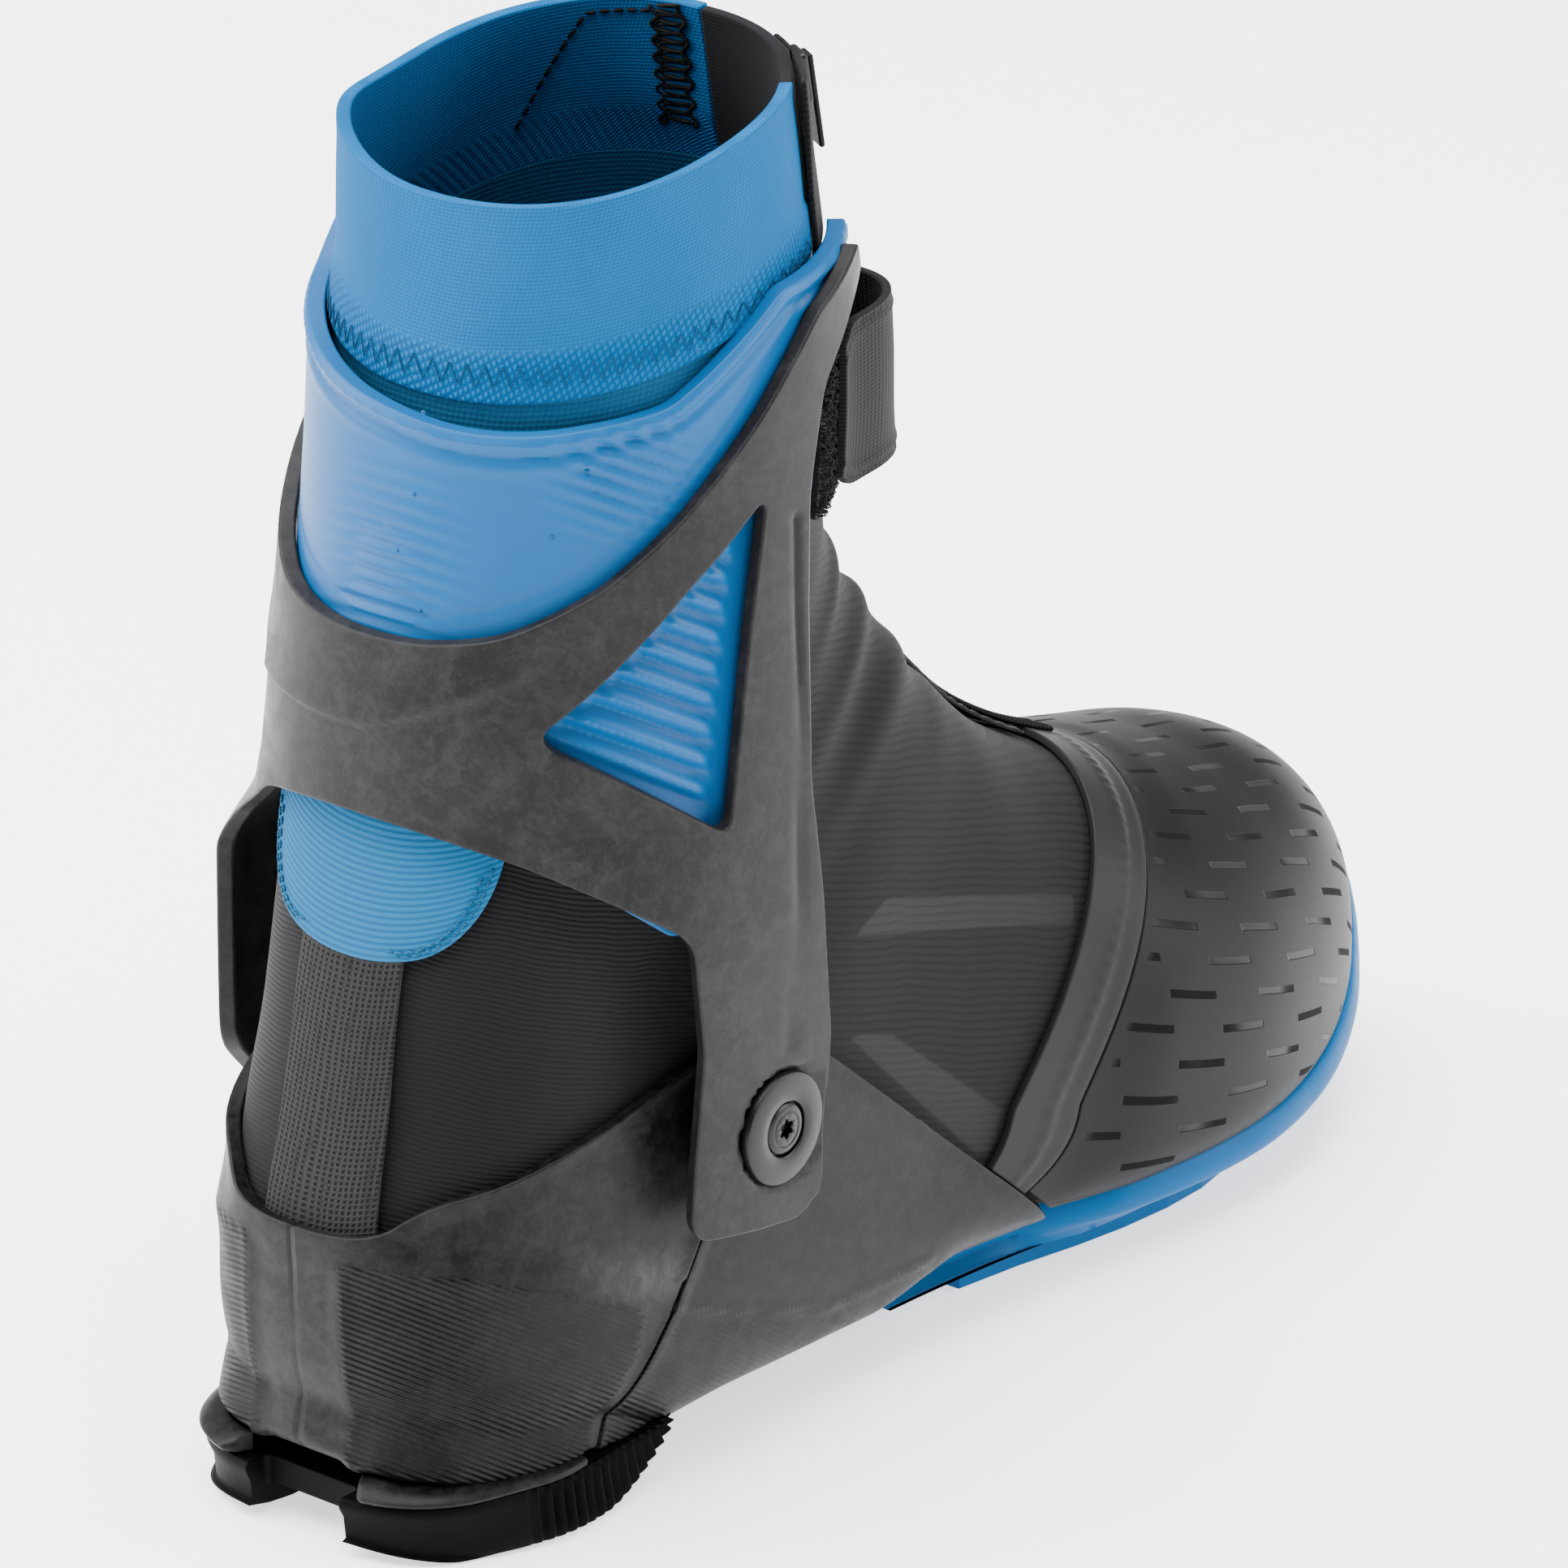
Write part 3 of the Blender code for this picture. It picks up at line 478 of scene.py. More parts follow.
class Shader:
    """A node material. Lengths in its patterns are millimetres."""

    def __init__(self, name):
        self.material = bpy.data.materials.new(name)
        self.material.use_nodes = True
        self.tree = self.material.node_tree
        self.principled = self.tree.nodes["Principled BSDF"]

    def add(self, kind, inputs=(), output=0, **settings):
        node = self.tree.nodes.new(kind)
        for key, value in settings.items():
            setattr(node, key, value)
        for key, value in dict(inputs).items():
            self.put(node.inputs[key], value)
        return Value(self, node.outputs[output])

    def put(self, socket, value):
        if isinstance(value, Value):
            self.tree.links.new(value.socket, socket)
        elif hasattr(value, "__len__") and len(value) == 3 and socket.type == "RGBA":
            socket.default_value = (*value, 1.0)
        else:
            socket.default_value = value

    def math(self, operation, a, b=0.0, c=0.0):
        return self.add("ShaderNodeMath", {0: a, 1: b, 2: c}, operation=operation)

    def clamp(self, value):
        return self.add("ShaderNodeClamp", {"Value": value, "Min": 0.0, "Max": 1.0})

    def remap(self, value, low, high):
        """Soft step from 0 at low to 1 at high."""
        return self.add("ShaderNodeMapRange", {"Value": value, "From Min": low, "From Max": high,
                                               "To Min": 0.0, "To Max": 1.0},
                        interpolation_type="SMOOTHSTEP")

    def blend(self, factor, a, b):
        """Colour a where factor is 0, b where it is 1."""
        node = self.tree.nodes.new("ShaderNodeMix")
        node.data_type = "RGBA"
        self.put(node.inputs[0], factor)
        self.put(node.inputs[6], a)
        self.put(node.inputs[7], b)
        return Value(self, node.outputs[2])

    def blend_value(self, factor, a, b):
        return a + factor * (b - a)

    def attribute(self, name, part="Fac"):
        node = self.tree.nodes.new("ShaderNodeAttribute")
        node.attribute_name = name
        return Value(self, node.outputs[part])

    def split(self, vector):
        node = self.tree.nodes.new("ShaderNodeSeparateXYZ")
        self.put(node.inputs[0], vector)
        return [Value(self, output) for output in node.outputs]

    def join(self, x, y=0.0, z=0.0):
        return self.add("ShaderNodeCombineXYZ", {0: x, 1: y, 2: z})

    def place(self):
        """Position on the object, in millimetres."""
        where = self.add("ShaderNodeTexCoord", output="Object")
        return self.add("ShaderNodeVectorMath", {0: where, "Scale": 1000.0}, operation="SCALE")

    def noise(self, vector, size, detail=2.0, roughness=0.5, distortion=0.0):
        """Noise from 0 to 1 whose features are about size millimetres across."""
        return self.add("ShaderNodeTexNoise", {"Vector": vector, "Scale": 1.0 / size, "Detail": detail,
                                               "Roughness": roughness, "Distortion": distortion})

    def ribs(self, value, pitch, sharpness=1.0):
        """0 in the grooves and 1 on the crests of ribs that are pitch apart along value."""
        wave = self.math("SINE", value * (2 * math.pi / pitch))
        wave = self.math("MULTIPLY_ADD", wave, 0.5, 0.5)
        return wave if sharpness == 1.0 else self.math("POWER", wave, sharpness)

    def bump(self, height, depth, normal=None):
        """Bump from a height of 0 to 1 that stands for depth millimetres."""
        inputs = {"Height": height, "Distance": depth * MM, "Strength": 1.0}
        if normal is not None:
            inputs["Normal"] = normal
        return self.add("ShaderNodeBump", inputs)

    def soft_edge(self, radius):
        return self.add("ShaderNodeBevel", {"Radius": radius * MM}, samples=4)

    def finish(self, colour, roughness, normal=None, dim=STUDIO_TONE, **inputs):
        """Set the surface; dim scales its colour to the studio's bright light."""
        toned = self.add("ShaderNodeVectorMath", {0: colour, "Scale": dim}, operation="SCALE")
        self.put(self.principled.inputs["Base Color"], toned)
        self.put(self.principled.inputs["Roughness"], roughness)
        if normal is not None:
            self.put(self.principled.inputs["Normal"], normal)
        for key, value in inputs.items():
            self.put(self.principled.inputs[key.replace("_", " ")], value)
        return self.material


# ---------------------------------------------------------------- materials

def knit_upper():
    """Black stretch knit: fine ribs fore and aft with darker grooves, and a faint print on the side."""
    s = Shader("upper_knit")
    place = s.place()
    x, y, z = s.split(place)
    wander = (s.noise(place, 14, 2) - 0.5) * 2.2
    level = z + y * -0.32 + wander
    front = s.remap(y, 66, 48)
    coarse = s.ribs(level, 1.5, 0.45)
    fine = s.ribs(level, 0.95, 0.6)
    rib = coarse * front + fine * (1.0 - front)
    along = s.join(y, x, level * 2.5)
    yarn = s.noise(along, 0.45, 2, 0.6)
    height = rib * 0.8 + yarn * 0.35
    tone = s.clamp(rib * 0.75 + yarn * 0.35)
    colour = s.blend(tone, (0.0035, 0.0035, 0.0045), (0.0165, 0.0165, 0.019))
    patches = s.noise(place, 30, 3)
    colour = s.blend(patches * 0.35, colour, (0.010, 0.010, 0.012))
    printed = s.remap(s.attribute("print"), -0.35, 0.35)
    colour = s.blend(printed * 0.7, colour, (0.023, 0.023, 0.025))
    rough = 0.82 + printed * -0.18
    return s.finish(colour, rough, s.bump(height, 0.16), Sheen_Weight=0.04, Sheen_Roughness=0.5,
                    Specular_IOR_Level=0.12)


def knit_blue(name, light, dark, pitch, coarse_band=False):
    """Blue stretch knit: close rows with a fine diagonal grain."""
    s = Shader(name)
    across, up, _ = s.split(s.attribute("flow", "Vector"))
    place = s.place()
    wander = (s.noise(place, 9, 2) - 0.5) * 0.7
    rows = s.ribs(up + wander, pitch)
    slant = s.ribs(across + up * 0.55 + wander, pitch * 1.25)
    grain = s.noise(s.join(across, up * 1.6), 0.32, 3, 0.65)
    height = rows * 0.45 + slant * 0.3 + grain * 0.5
    if coarse_band:
        band = s.remap(up, 9.5, 7.5)
        stitch = s.ribs(across, 1.15) * s.ribs(up + across * 0.5, 1.15)
        height = height * (1.0 - band) + stitch * (band * 2.2)
    tone = s.clamp(height * 0.75 + s.noise(place, 22, 3) * 0.35)
    colour = s.blend(tone, dark, light)
    # Painted shade: the inner face is darkened towards the dark tone, as if in the shade inside the collar.
    inside = s.attribute("inside")
    colour = s.blend(inside * 0.35, colour, dark)
    return s.finish(colour, 0.78, s.bump(height, 0.13), Sheen_Weight=0.02, Sheen_Roughness=0.45,
                    Sheen_Tint=(0.05, 0.4, 0.9), Specular_IOR_Level=0.08)


def knit_plain(name, light, dark, pitch, depth=0.12):
    """Plain ribbed fabric along its stored flow."""
    s = Shader(name)
    across, up, _ = s.split(s.attribute("flow", "Vector"))
    rows = s.ribs(up, pitch, 0.7)
    grain = s.noise(s.join(across, up * 2.0), 0.4, 3, 0.6)
    height = rows * 0.7 + grain * 0.5
    colour = s.blend(s.clamp(height), dark, light)
    return s.finish(colour, 0.85, s.bump(height, depth), Sheen_Weight=0.04, Specular_IOR_Level=0.1)


def composite(name, base, light, blotch, panel=False):
    """Mottled satin composite: cloudy patches of fine fibres and paler edges from wear; with panel, also a
    painted highlight where the marks put it.
    """
    s = Shader(name)
    place = s.place()
    cloud = s.noise(place, 11, 5, 0.62, 0.8)
    cloud = s.remap(cloud, 0.38, 0.68)
    fibre = s.noise(place, 0.8, 4, 0.75)
    mottle = s.remap(s.noise(place, 3.2, 4, 0.72, 0.5), 0.36, 0.68)
    speck = s.remap(s.noise(place, 0.35, 2, 0.8), 0.55, 0.8)
    tone = cloud * (blotch * 0.62) + (fibre - 0.45) * (blotch * 1.5)
    tone = s.clamp(tone + (mottle - 0.4) * (blotch * 0.5))
    colour = s.blend(tone, base, light)
    colour = s.blend(speck * 0.12, colour, (0.16, 0.15, 0.15))
    normal = s.soft_edge(0.45)
    flat = s.add("ShaderNodeNewGeometry", output="Normal")
    corner = s.add("ShaderNodeVectorMath", {0: normal, 1: flat}, output="Value", operation="DOT_PRODUCT")
    wear = s.remap(corner, 0.995, 0.80) * (0.35 + fibre * 0.5)
    colour = s.blend(wear, colour, (0.13, 0.118, 0.118))
    groove = s.attribute("groove")
    colour = s.blend(groove * 0.75, colour, (0.006, 0.006, 0.006))
    rough = 0.27 + (cloud * 0.14 + fibre * 0.22)
    height = fibre * 0.5 + cloud * 0.3 + groove * -2.0
    normal = s.bump(height, 0.05, normal)
    if panel:
        _, y, z = s.split(place)
        ribbed = s.attribute("panel")
        lines = s.ribs(z * 0.83 + y * -0.56, 0.95)
        normal = s.bump(lines * ribbed, 0.24, normal)
        groove = (1.0 - lines) * (ribbed * 0.75)
        colour = s.blend(groove, colour, (0.004, 0.004, 0.004))
        rough = rough + ribbed * 0.08
        # Painted highlight: a paler patch above the heel panel and down the spine, standing for light
        # falling on the counter there.
        worn = s.attribute("worn") * (0.45 + mottle * 0.55)
        colour = s.blend(worn * 0.8, colour, (0.115, 0.11, 0.112))
        seam = s.attribute("seam")
        colour = s.blend(seam * 0.85, colour, (0.004, 0.004, 0.004))
        dotted = s.attribute("dotted") * s.ribs(y, 1.1)
        colour = s.blend(dotted * 0.5, colour, (0.11, 0.11, 0.11))
        normal = s.bump(1.0 - seam, 0.30, normal)
    return s.finish(colour, rough, normal, Specular_IOR_Level=0.12)


def liner_plastic():
    s = Shader("liner_plastic")
    place = s.place()
    cloud = s.noise(place, 18, 3)
    fine = s.noise(place, 0.5, 2, 0.7)
    colour = s.blend(cloud * 0.5, (0.001, 0.20, 0.60), (0.004, 0.26, 0.74))
    rough = 0.34 + fine * 0.14
    normal = s.bump(fine, 0.02, s.soft_edge(0.4))
    return s.finish(colour, rough, normal, Specular_IOR_Level=0.17)


def cap_laminate():
    """Satin laminate with rows of short engraved dashes, staggered row by row."""
    s = Shader("cap_laminate")
    along, across, _ = s.split(s.attribute("flow", "Vector"))
    place = s.place()
    row_width, period = 5.6, 25.0
    row = s.math("FLOOR", s.math("DIVIDE", across, row_width))
    in_row = across - (row + 0.5) * row_width
    odd = s.math("MODULO", s.math("ABSOLUTE", row), 2.0)
    shifted = along + (odd * (period / 2) + row * 0.8)
    piece = s.math("FRACT", s.math("DIVIDE", shifted, period)) - 0.5
    piece = s.math("ABSOLUTE", piece) * period
    dash = s.remap(piece, 6.2, 5.8) * s.remap(s.math("ABSOLUTE", in_row), 0.72, 0.54)
    dash = dash * s.attribute("dashes")
    grain = s.noise(place, 0.6, 3, 0.6)
    cloud = s.noise(place, 26, 3)
    colour = s.blend(grain * 0.25 + cloud * 0.5, (0.0062, 0.0062, 0.0066), (0.0130, 0.0128, 0.0130))
    # Painted highlight: in patches the dashes are painted pale where they would catch the light; there they
    # are also smoother.
    gloss = s.remap(s.noise(place, 20, 1), 0.45, 0.62)
    colour = s.blend(dash * 0.9, colour, s.blend(gloss, (0.0004, 0.0004, 0.0004), (0.036, 0.036, 0.036)))
    rough = 0.44 + grain * 0.12 + dash * s.blend_value(gloss, 0.4, -0.06)
    normal = s.bump(grain, 0.025, s.soft_edge(0.4))
    normal = s.bump(1.0 - dash, 0.22, normal)
    return s.finish(colour, rough, normal, Specular_IOR_Level=0.12)


def laminate(name="band_laminate", tone=(0.036, 0.0355, 0.036)):
    s = Shader(name)
    place = s.place()
    grain = s.noise(place, 0.6, 3, 0.6)
    cloud = s.noise(place, 15, 3)
    dark = tuple(c * 0.6 for c in tone)
    colour = s.blend(cloud * 0.6 + grain * 0.3, dark, tone)
    rough = 0.42 + grain * 0.16
    return s.finish(colour, rough, s.bump(grain, 0.03, s.soft_edge(0.35)), Specular_IOR_Level=0.12)


def rubber(name, dark, light, rough=0.55, grain_depth=0.05, gloss=0.13):
    s = Shader(name)
    place = s.place()
    cloud = s.noise(place, 12, 3)
    grain = s.noise(place, 0.5, 3, 0.7)
    colour = s.blend(cloud * 0.7 + grain * 0.2, dark, light)
    scuff = s.remap(s.noise(place, 3, 4, 0.7), 0.62, 0.75)
    roughness = rough + (grain * 0.15 + scuff * 0.08)
    return s.finish(colour, roughness, s.bump(grain, grain_depth, s.soft_edge(0.5)),
                    Specular_IOR_Level=gloss)


def mesh_fabric():
    """Coarse open mesh of thick grey-black threads, with wear down the middle."""
    s = Shader("strip_mesh")
    across, up, _ = s.split(s.attribute("flow", "Vector"))
    wander = (s.noise(s.place(), 2.5, 2) - 0.5) * 0.5
    warp = s.ribs(across + wander, 1.0, 0.7)
    weft = s.ribs(up + wander, 0.95, 0.7)
    knots = s.math("MAXIMUM", warp * 0.9, weft)
    holes = (1.0 - warp) * (1.0 - weft)
    streak = s.remap(s.noise(s.join(across, up * 0.12), 1.6, 3, 0.7), 0.52, 0.66)
    fuzz = s.noise(s.place(), 0.3, 2, 0.8)
    colour = s.blend(s.clamp(knots * 0.75 + fuzz * 0.35), (0.004, 0.004, 0.004), (0.052, 0.050, 0.052))
    colour = s.blend(s.clamp(holes * 2.2), colour, (0.002, 0.002, 0.002))
    colour = s.blend(streak * 0.6, colour, (0.010, 0.010, 0.011))
    height = knots + fuzz * 0.4
    return s.finish(colour, 0.85, s.bump(height, 0.35), Sheen_Weight=0.04, Specular_IOR_Level=0.15)


def loop_pile():
    s = Shader("loop_pile")
    fuzz = s.noise(s.place(), 0.6, 4, 0.8)
    colour = s.blend(fuzz, (0.003, 0.003, 0.0035), (0.022, 0.022, 0.024))
    return s.finish(colour, 0.7, s.bump(fuzz, 0.5), Sheen_Weight=0.04, Specular_IOR_Level=0.15)


def webbing():
    """Strap: close weave with a faint sheen."""
    s = Shader("strap_webbing")
    across, up, _ = s.split(s.attribute("flow", "Vector"))
    warp = s.ribs(across, 0.9)
    weft = s.ribs(up, 0.7)
    fuzz = s.noise(s.place(), 0.35, 3, 0.7)
    height = warp * weft * 0.8 + fuzz * 0.4
    colour = s.blend(s.clamp(height), (0.002, 0.002, 0.0025), (0.010, 0.010, 0.011))
    return s.finish(colour, 0.8, s.bump(height, 0.14), Sheen_Weight=0.04, Specular_IOR_Level=0.15)


def brushed_steel():
    s = Shader("brushed_steel")
    place = s.place()
    x, y, z = s.split(place)
    lines = s.noise(s.join(x * 0.2, y, z * 3.0), 0.25, 3, 0.7)
    colour = s.blend(lines, (0.30, 0.30, 0.31), (0.52, 0.52, 0.53))
    return s.finish(colour, 0.22 + lines * 0.2, s.bump(lines, 0.01), 0.5, Metallic=1.0)


def black_satin():
    s = Shader("pivot_satin")
    place = s.place()
    grain = s.noise(place, 0.5, 3, 0.6)
    colour = s.blend(grain, (0.003, 0.003, 0.0033), (0.008, 0.008, 0.0084))
    return s.finish(colour, 0.27 + grain * 0.14, s.bump(grain, 0.012, s.soft_edge(0.3)),
                    Specular_IOR_Level=0.22)


def thread(name, tone):
    s = Shader(name)
    twist = s.ribs(s.split(s.place())[2], 0.5)
    dark = tuple(c * 0.5 for c in tone)
    return s.finish(s.blend(twist, dark, tone), 0.7, s.bump(twist, 0.05), Specular_IOR_Level=0.1)


def woven_foam():
    s = Shader("footbed_weave")
    x, y, _ = s.split(s.place())
    weave = s.ribs(x, 1.2) * s.ribs(y, 1.2)
    fuzz = s.noise(s.place(), 0.6, 3, 0.7)
    height = weave * 0.6 + fuzz * 0.4
    return s.finish(s.blend(height, (0.02, 0.02, 0.022), (0.10, 0.10, 0.11)), 0.9, s.bump(height, 0.15))


def studio_floor():
    s = Shader("studio_floor")
    soft = s.noise(s.place(), 400, 2)
    colour = s.blend(soft * 0.3, (0.93, 0.93, 0.93), (0.91, 0.91, 0.91))
    return s.finish(colour, 0.9, s.bump(s.noise(s.place(), 2, 2), 0.01), 1.0, Specular_IOR_Level=0.1,
                    Emission_Color=(1.0, 1.0, 1.0), Emission_Strength=1.25)


UPPER_KNIT = knit_upper()
COLLAR_KNIT = knit_blue("collar_knit_look", (0.002, 0.29, 0.75), (0.0008, 0.115, 0.38), 0.62,
                        coarse_band=True)
ELASTIC_KNIT = knit_blue("elastic_knit_look", (0.020, 0.22, 0.47), (0.004, 0.08, 0.22), 0.9)
PATCH_KNIT = knit_plain("patch_twill", (0.018, 0.30, 0.66), (0.004, 0.13, 0.37), 1.0)
GUSSET_KNIT = knit_plain("gusset_knit", (0.009, 0.009, 0.013), (0.002, 0.002, 0.003), 0.7)
FLAP_KNIT = knit_plain("flap_knit", (0.010, 0.010, 0.014), (0.002, 0.002, 0.003), 1.1, 0.25)
FRAME_LOOK = composite("cuff_composite", (0.024, 0.023, 0.024), (0.098, 0.092, 0.094), 0.50)
COUNTER_LOOK = composite("heel_composite", (0.0020, 0.0019, 0.0020), (0.038, 0.036, 0.0365), 0.8,
                         panel=True)
LINER_LOOK = liner_plastic()
CAP_LOOK = cap_laminate()
BAND_LOOK = laminate()
TAPE_LOOK = laminate("tape_film", (0.011, 0.011, 0.0115))
SOLE_BLUE = rubber("sole_blue_rubber", (0.002, 0.19, 0.55), (0.005, 0.24, 0.67), 0.36, 0.015, 0.08)
SOLE_BLACK = rubber("sole_black_rubber", (0.0010, 0.0010, 0.0010), (0.0030, 0.0030, 0.0030), 0.50,
                    gloss=0.05)
STRIP_LOOK = mesh_fabric()
PILE_LOOK = loop_pile()
STRAP_LOOK = webbing()
STEEL_LOOK = brushed_steel()
PIVOT_LOOK = black_satin()
BLACK_THREAD = thread("black_thread", (0.010, 0.010, 0.012))
BLUE_THREAD = thread("blue_thread", (0.035, 0.24, 0.50))
GREY_THREAD = thread("grey_thread", (0.02, 0.16, 0.36))
FOOTBED_LOOK = woven_foam()


# ---------------------------------------------------------------- lines across the boot, in the side view

# (y, z) at y = -60 and y = 150.
SHAFT_LINE = ((-60, 185.0), (150, 144.5))
SEAM_LINE = ((-60, 238.4), (150, 183.8))


def above_line(points, line):
    """Height of points over a line in the side view."""
    (y0, z0), (y1, z1) = line
    return points[..., 2] - (z0 + (points[..., 1] - y0) * (z1 - z0) / (y1 - y0))


def station_on_line(u, line):
    """Station where the foot form crosses a line, for each u."""
    low, high = np.full(np.shape(u), 7.0), np.full(np.shape(u), RIM - 0.01)
    for _ in range(30):
        middle = (low + high) / 2
        over = above_line(form(middle, u), line) > 0
        low, high = np.where(over, low, middle), np.where(over, middle, high)
    return (low + high) / 2


def shaft(t, u, offset=0.0):
    """Point on the foot form by station and turn, moved out by offset."""
    return form(t, u) + np.asarray(offset, float)[..., None] * form_normal(t, u)


def girth(t):
    """Length round the foot form at each station, in millimetres."""
    t = np.asarray(t, float)
    known = [length_along(form(k, np.linspace(0, 1, 1600)))[-1] for k in range(RIM + 1)]
    return np.interp(t, range(RIM + 1), known)


# ---------------------------------------------------------------- knit upper

def fold_relief(t, u):
    """Soft folds where the knit bends at the ankle, and slight unevenness elsewhere."""
    u = (np.asarray(u) + 0.5) % 1 - 0.5
    side = np.abs(u)
    height = np.zeros(np.shape(t))
    for start, slope, width, size, reach in ((9.9, 12.0, 0.30, 1.5, 0.17), (8.75, 13.0, 0.34, 1.3, 0.19),
                                             (11.2, 10.0, 0.26, 0.9, 0.15), (7.9, 9.0, 0.35, 0.6, 0.14)):
        along = bell(np.maximum(side - reach * 0.55, 0), reach * 0.38)
        height += size * along * bell(t - start - slope * np.maximum(side, 0.0), width)
    height += 0.35 * np.sin(t * 2.1 + 9 * u) * np.sin(t * 0.9 - 17 * u) * smooth((t - 6) / 3)
    return height * np.clip((16.5 - t) / 3, 0, 1)


PRINTED = [
    np.array([(25.8, 88.7), (-26, 72.6), (-24, 68), (36.3, 85.3)], float),
    np.array([(40.6, 68.8), (28, 64.6), (-6, 36), (6, 34)], float),
]


def make_upper():
    share = np.linspace(0, 1, 241)[:-1]
    top = station_on_line(turn_at(15.0, share), SHAFT_LINE)
    k = np.linspace(0, 1, 250)[:, None]
    t = 0.5 + (top[None, :] - 0.5) * k
    u = turn_at(t, share[None, :] + 0 * t)
    normal, base = form_normal(t, u), form(t, u)
    outer = base + fold_relief(t, u)[..., None] * normal
    inner = base - 2.2 * normal
    printed = np.full(t.shape, -4.0)
    for outline in PRINTED:
        printed = np.maximum(printed, np.minimum(polygon_distance(base[..., 1:], outline), 4.0))
    upper = sheet_solid("upper_knit", UPPER_KNIT, outer, inner, closed=True, print=printed)
    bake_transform(upper)
    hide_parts("vamp_upper", "ankle_gaiter")


# ---------------------------------------------------------------- collar

def collar_grid(u_start, u_end, columns, rows, line, rim):
    u = np.linspace(u_start, u_end, columns)
    low = station_on_line(u, line) + 0.012
    k = np.linspace(0, 1, rows)[:, None]
    t = low[None, :] + (rim - low)[None, :] * k
    return t, u[None, :] + 0 * t


def flow_of(t, u, line):
    """Millimetres round the leg and above a line."""
    up = above_line(form(t, u), line)
    return np.stack([u * girth(t), up * 0.97, 0 * t], -1).reshape(-1, 3)


def soft_shape(t, u):
    """Gentle unevenness of the stretched knit."""
    return 0.5 * np.sin(7 * u * 2 * np.pi / 2 + t) * np.sin(1.3 * t) + 0.3 * np.sin(31 * u + 2.0 * t)


COLLAR_FROM, COLLAR_TO = 0.163, 1.0036          # turns between which the blue collar runs


def make_collar():
    u = np.linspace(0, 1, 221)[:-1]
    low = station_on_line(u, SHAFT_LINE) + 0.01
    high = station_on_line(u, SEAM_LINE) + 0.02
    t = low[None, :] + (high - low)[None, :] * np.linspace(0, 1, 28)[:, None]
    uu = u[None, :] + 0 * t
    elastic = sheet_solid("collar_elastic", ELASTIC_KNIT, shaft(t, uu, -0.5), shaft(t, uu, -2.2),
                          closed=True, flow=flow_of(t, uu, SHAFT_LINE))
    finish_piece(elastic, CUFF, ["collar_elastic"], 0.9)

    t, u = collar_grid(COLLAR_FROM, COLLAR_TO, 260, 90, SEAM_LINE, RIM - 0.03)
    up = above_line(form(t, u), SEAM_LINE)
    band = smooth((10.0 - up) / 2.0) * smooth((up + 0.2) / 1.2)
    hem = bell(RIM - 0.03 - t, 0.12)
    outer = shaft(t, u, 0.15 + soft_shape(t, u) * 1.1 * smooth(up / 14) + 0.45 * band + 0.25 * hem)
    inner = shaft(t, u, -2.0 + soft_shape(t, u) * 1.0 * smooth(up / 14))
    rise = 5.0 * bell(u % 1 - 0.63, 0.085) * smooth((t - 17.5) / 2.4)
    outer[..., 2] += rise
    inner[..., 2] += rise
    collar = sheet_solid("collar_knit", COLLAR_KNIT, outer, inner, edge=0.85, flow=flow_of(t, u, SEAM_LINE))
    finish_piece(collar, CUFF, ["collar_knit"], 0.9)

    t, u = collar_grid(0.004, 0.1625, 60, 70, SEAM_LINE, RIM - 0.05)
    gusset = sheet_solid("collar_gusset", GUSSET_KNIT, shaft(t, u, 0.0), shaft(t, u, -2.0), edge=0.8,
                         flow=flow_of(t, u, SEAM_LINE))
    finish_piece(gusset, CUFF, ["collar_gusset"], 0.9)

    t, u = collar_grid(0.104, 0.167, 26, 70, SEAM_LINE, RIM - 0.02)
    lift = 0.9 * smooth((t - 18.6) / 1.4) * smooth((u - 0.13) / 0.03)
    flap = sheet_solid("collar_flap", FLAP_KNIT, shaft(t, u, 1.75 + lift), shaft(t, u, 0.75 + lift),
                       edge=0.35, flow=flow_of(t, u, SEAM_LINE))
    finish_piece(flap, CUFF, ["collar_flap"])
    make_collar_stitching()
    make_zip_tape()


def path_on_shaft(points, offset, count):
    """Evenly filled path through (t, u) points, held at an offset from the foot form."""
    points = np.array(points, float)
    k = np.linspace(0, len(points) - 1, count)
    t = np.interp(k, range(len(points)), points[:, 0])
    u = np.interp(k, range(len(points)), points[:, 1])
    return shaft(t, u, offset)


def threads(name, material, ends, radius, sides=6):
    """Straight threads between pairs of points in millimetres, slightly bowed at their ends."""
    points, faces = [], []
    profile = [(-0.5, 0.3), (-0.42, 0.8), (0.0, 1.0), (0.42, 0.8), (0.5, 0.3)]
    for first, second in ends:
        first, second = np.asarray(first, float), np.asarray(second, float)
        axis = second - first
        size = np.linalg.norm(axis)
        if size < 1e-6:
            continue
        axis /= size
        side = np.cross(axis, (0.31, 0.22, 0.93))
        side /= np.linalg.norm(side)
        up = np.cross(axis, side)
        base = len(points)
        for f, scale in profile:
            centre = (first + second) / 2 + axis * size * f
            for k in range(sides):
                angle = 2 * math.pi * k / sides
                points.append(centre + radius * scale * (side * math.cos(angle) + up * math.sin(angle)))
        faces += grid_faces(len(profile), sides, True, base, True)
        faces.append(tuple(range(base, base + sides)))
        last = base + (len(profile) - 1) * sides
        faces.append(tuple(range(last + sides - 1, last - 1, -1)))
    return shade(new_object(name, mesh_from(name, points, faces), material), 60)


def dashes_along(path, length, gap):
    path = np.asarray(path, float)
    run = length_along(path)
    ends, start = [], 0.0
    while start + length <= run[-1]:
        spots = (start, start + length)
        ends.append([np.array([np.interp(d, run, path[:, k]) for k in range(3)]) for d in spots])
        start += length + gap
    return ends


MM_PER_STATION = 24.0


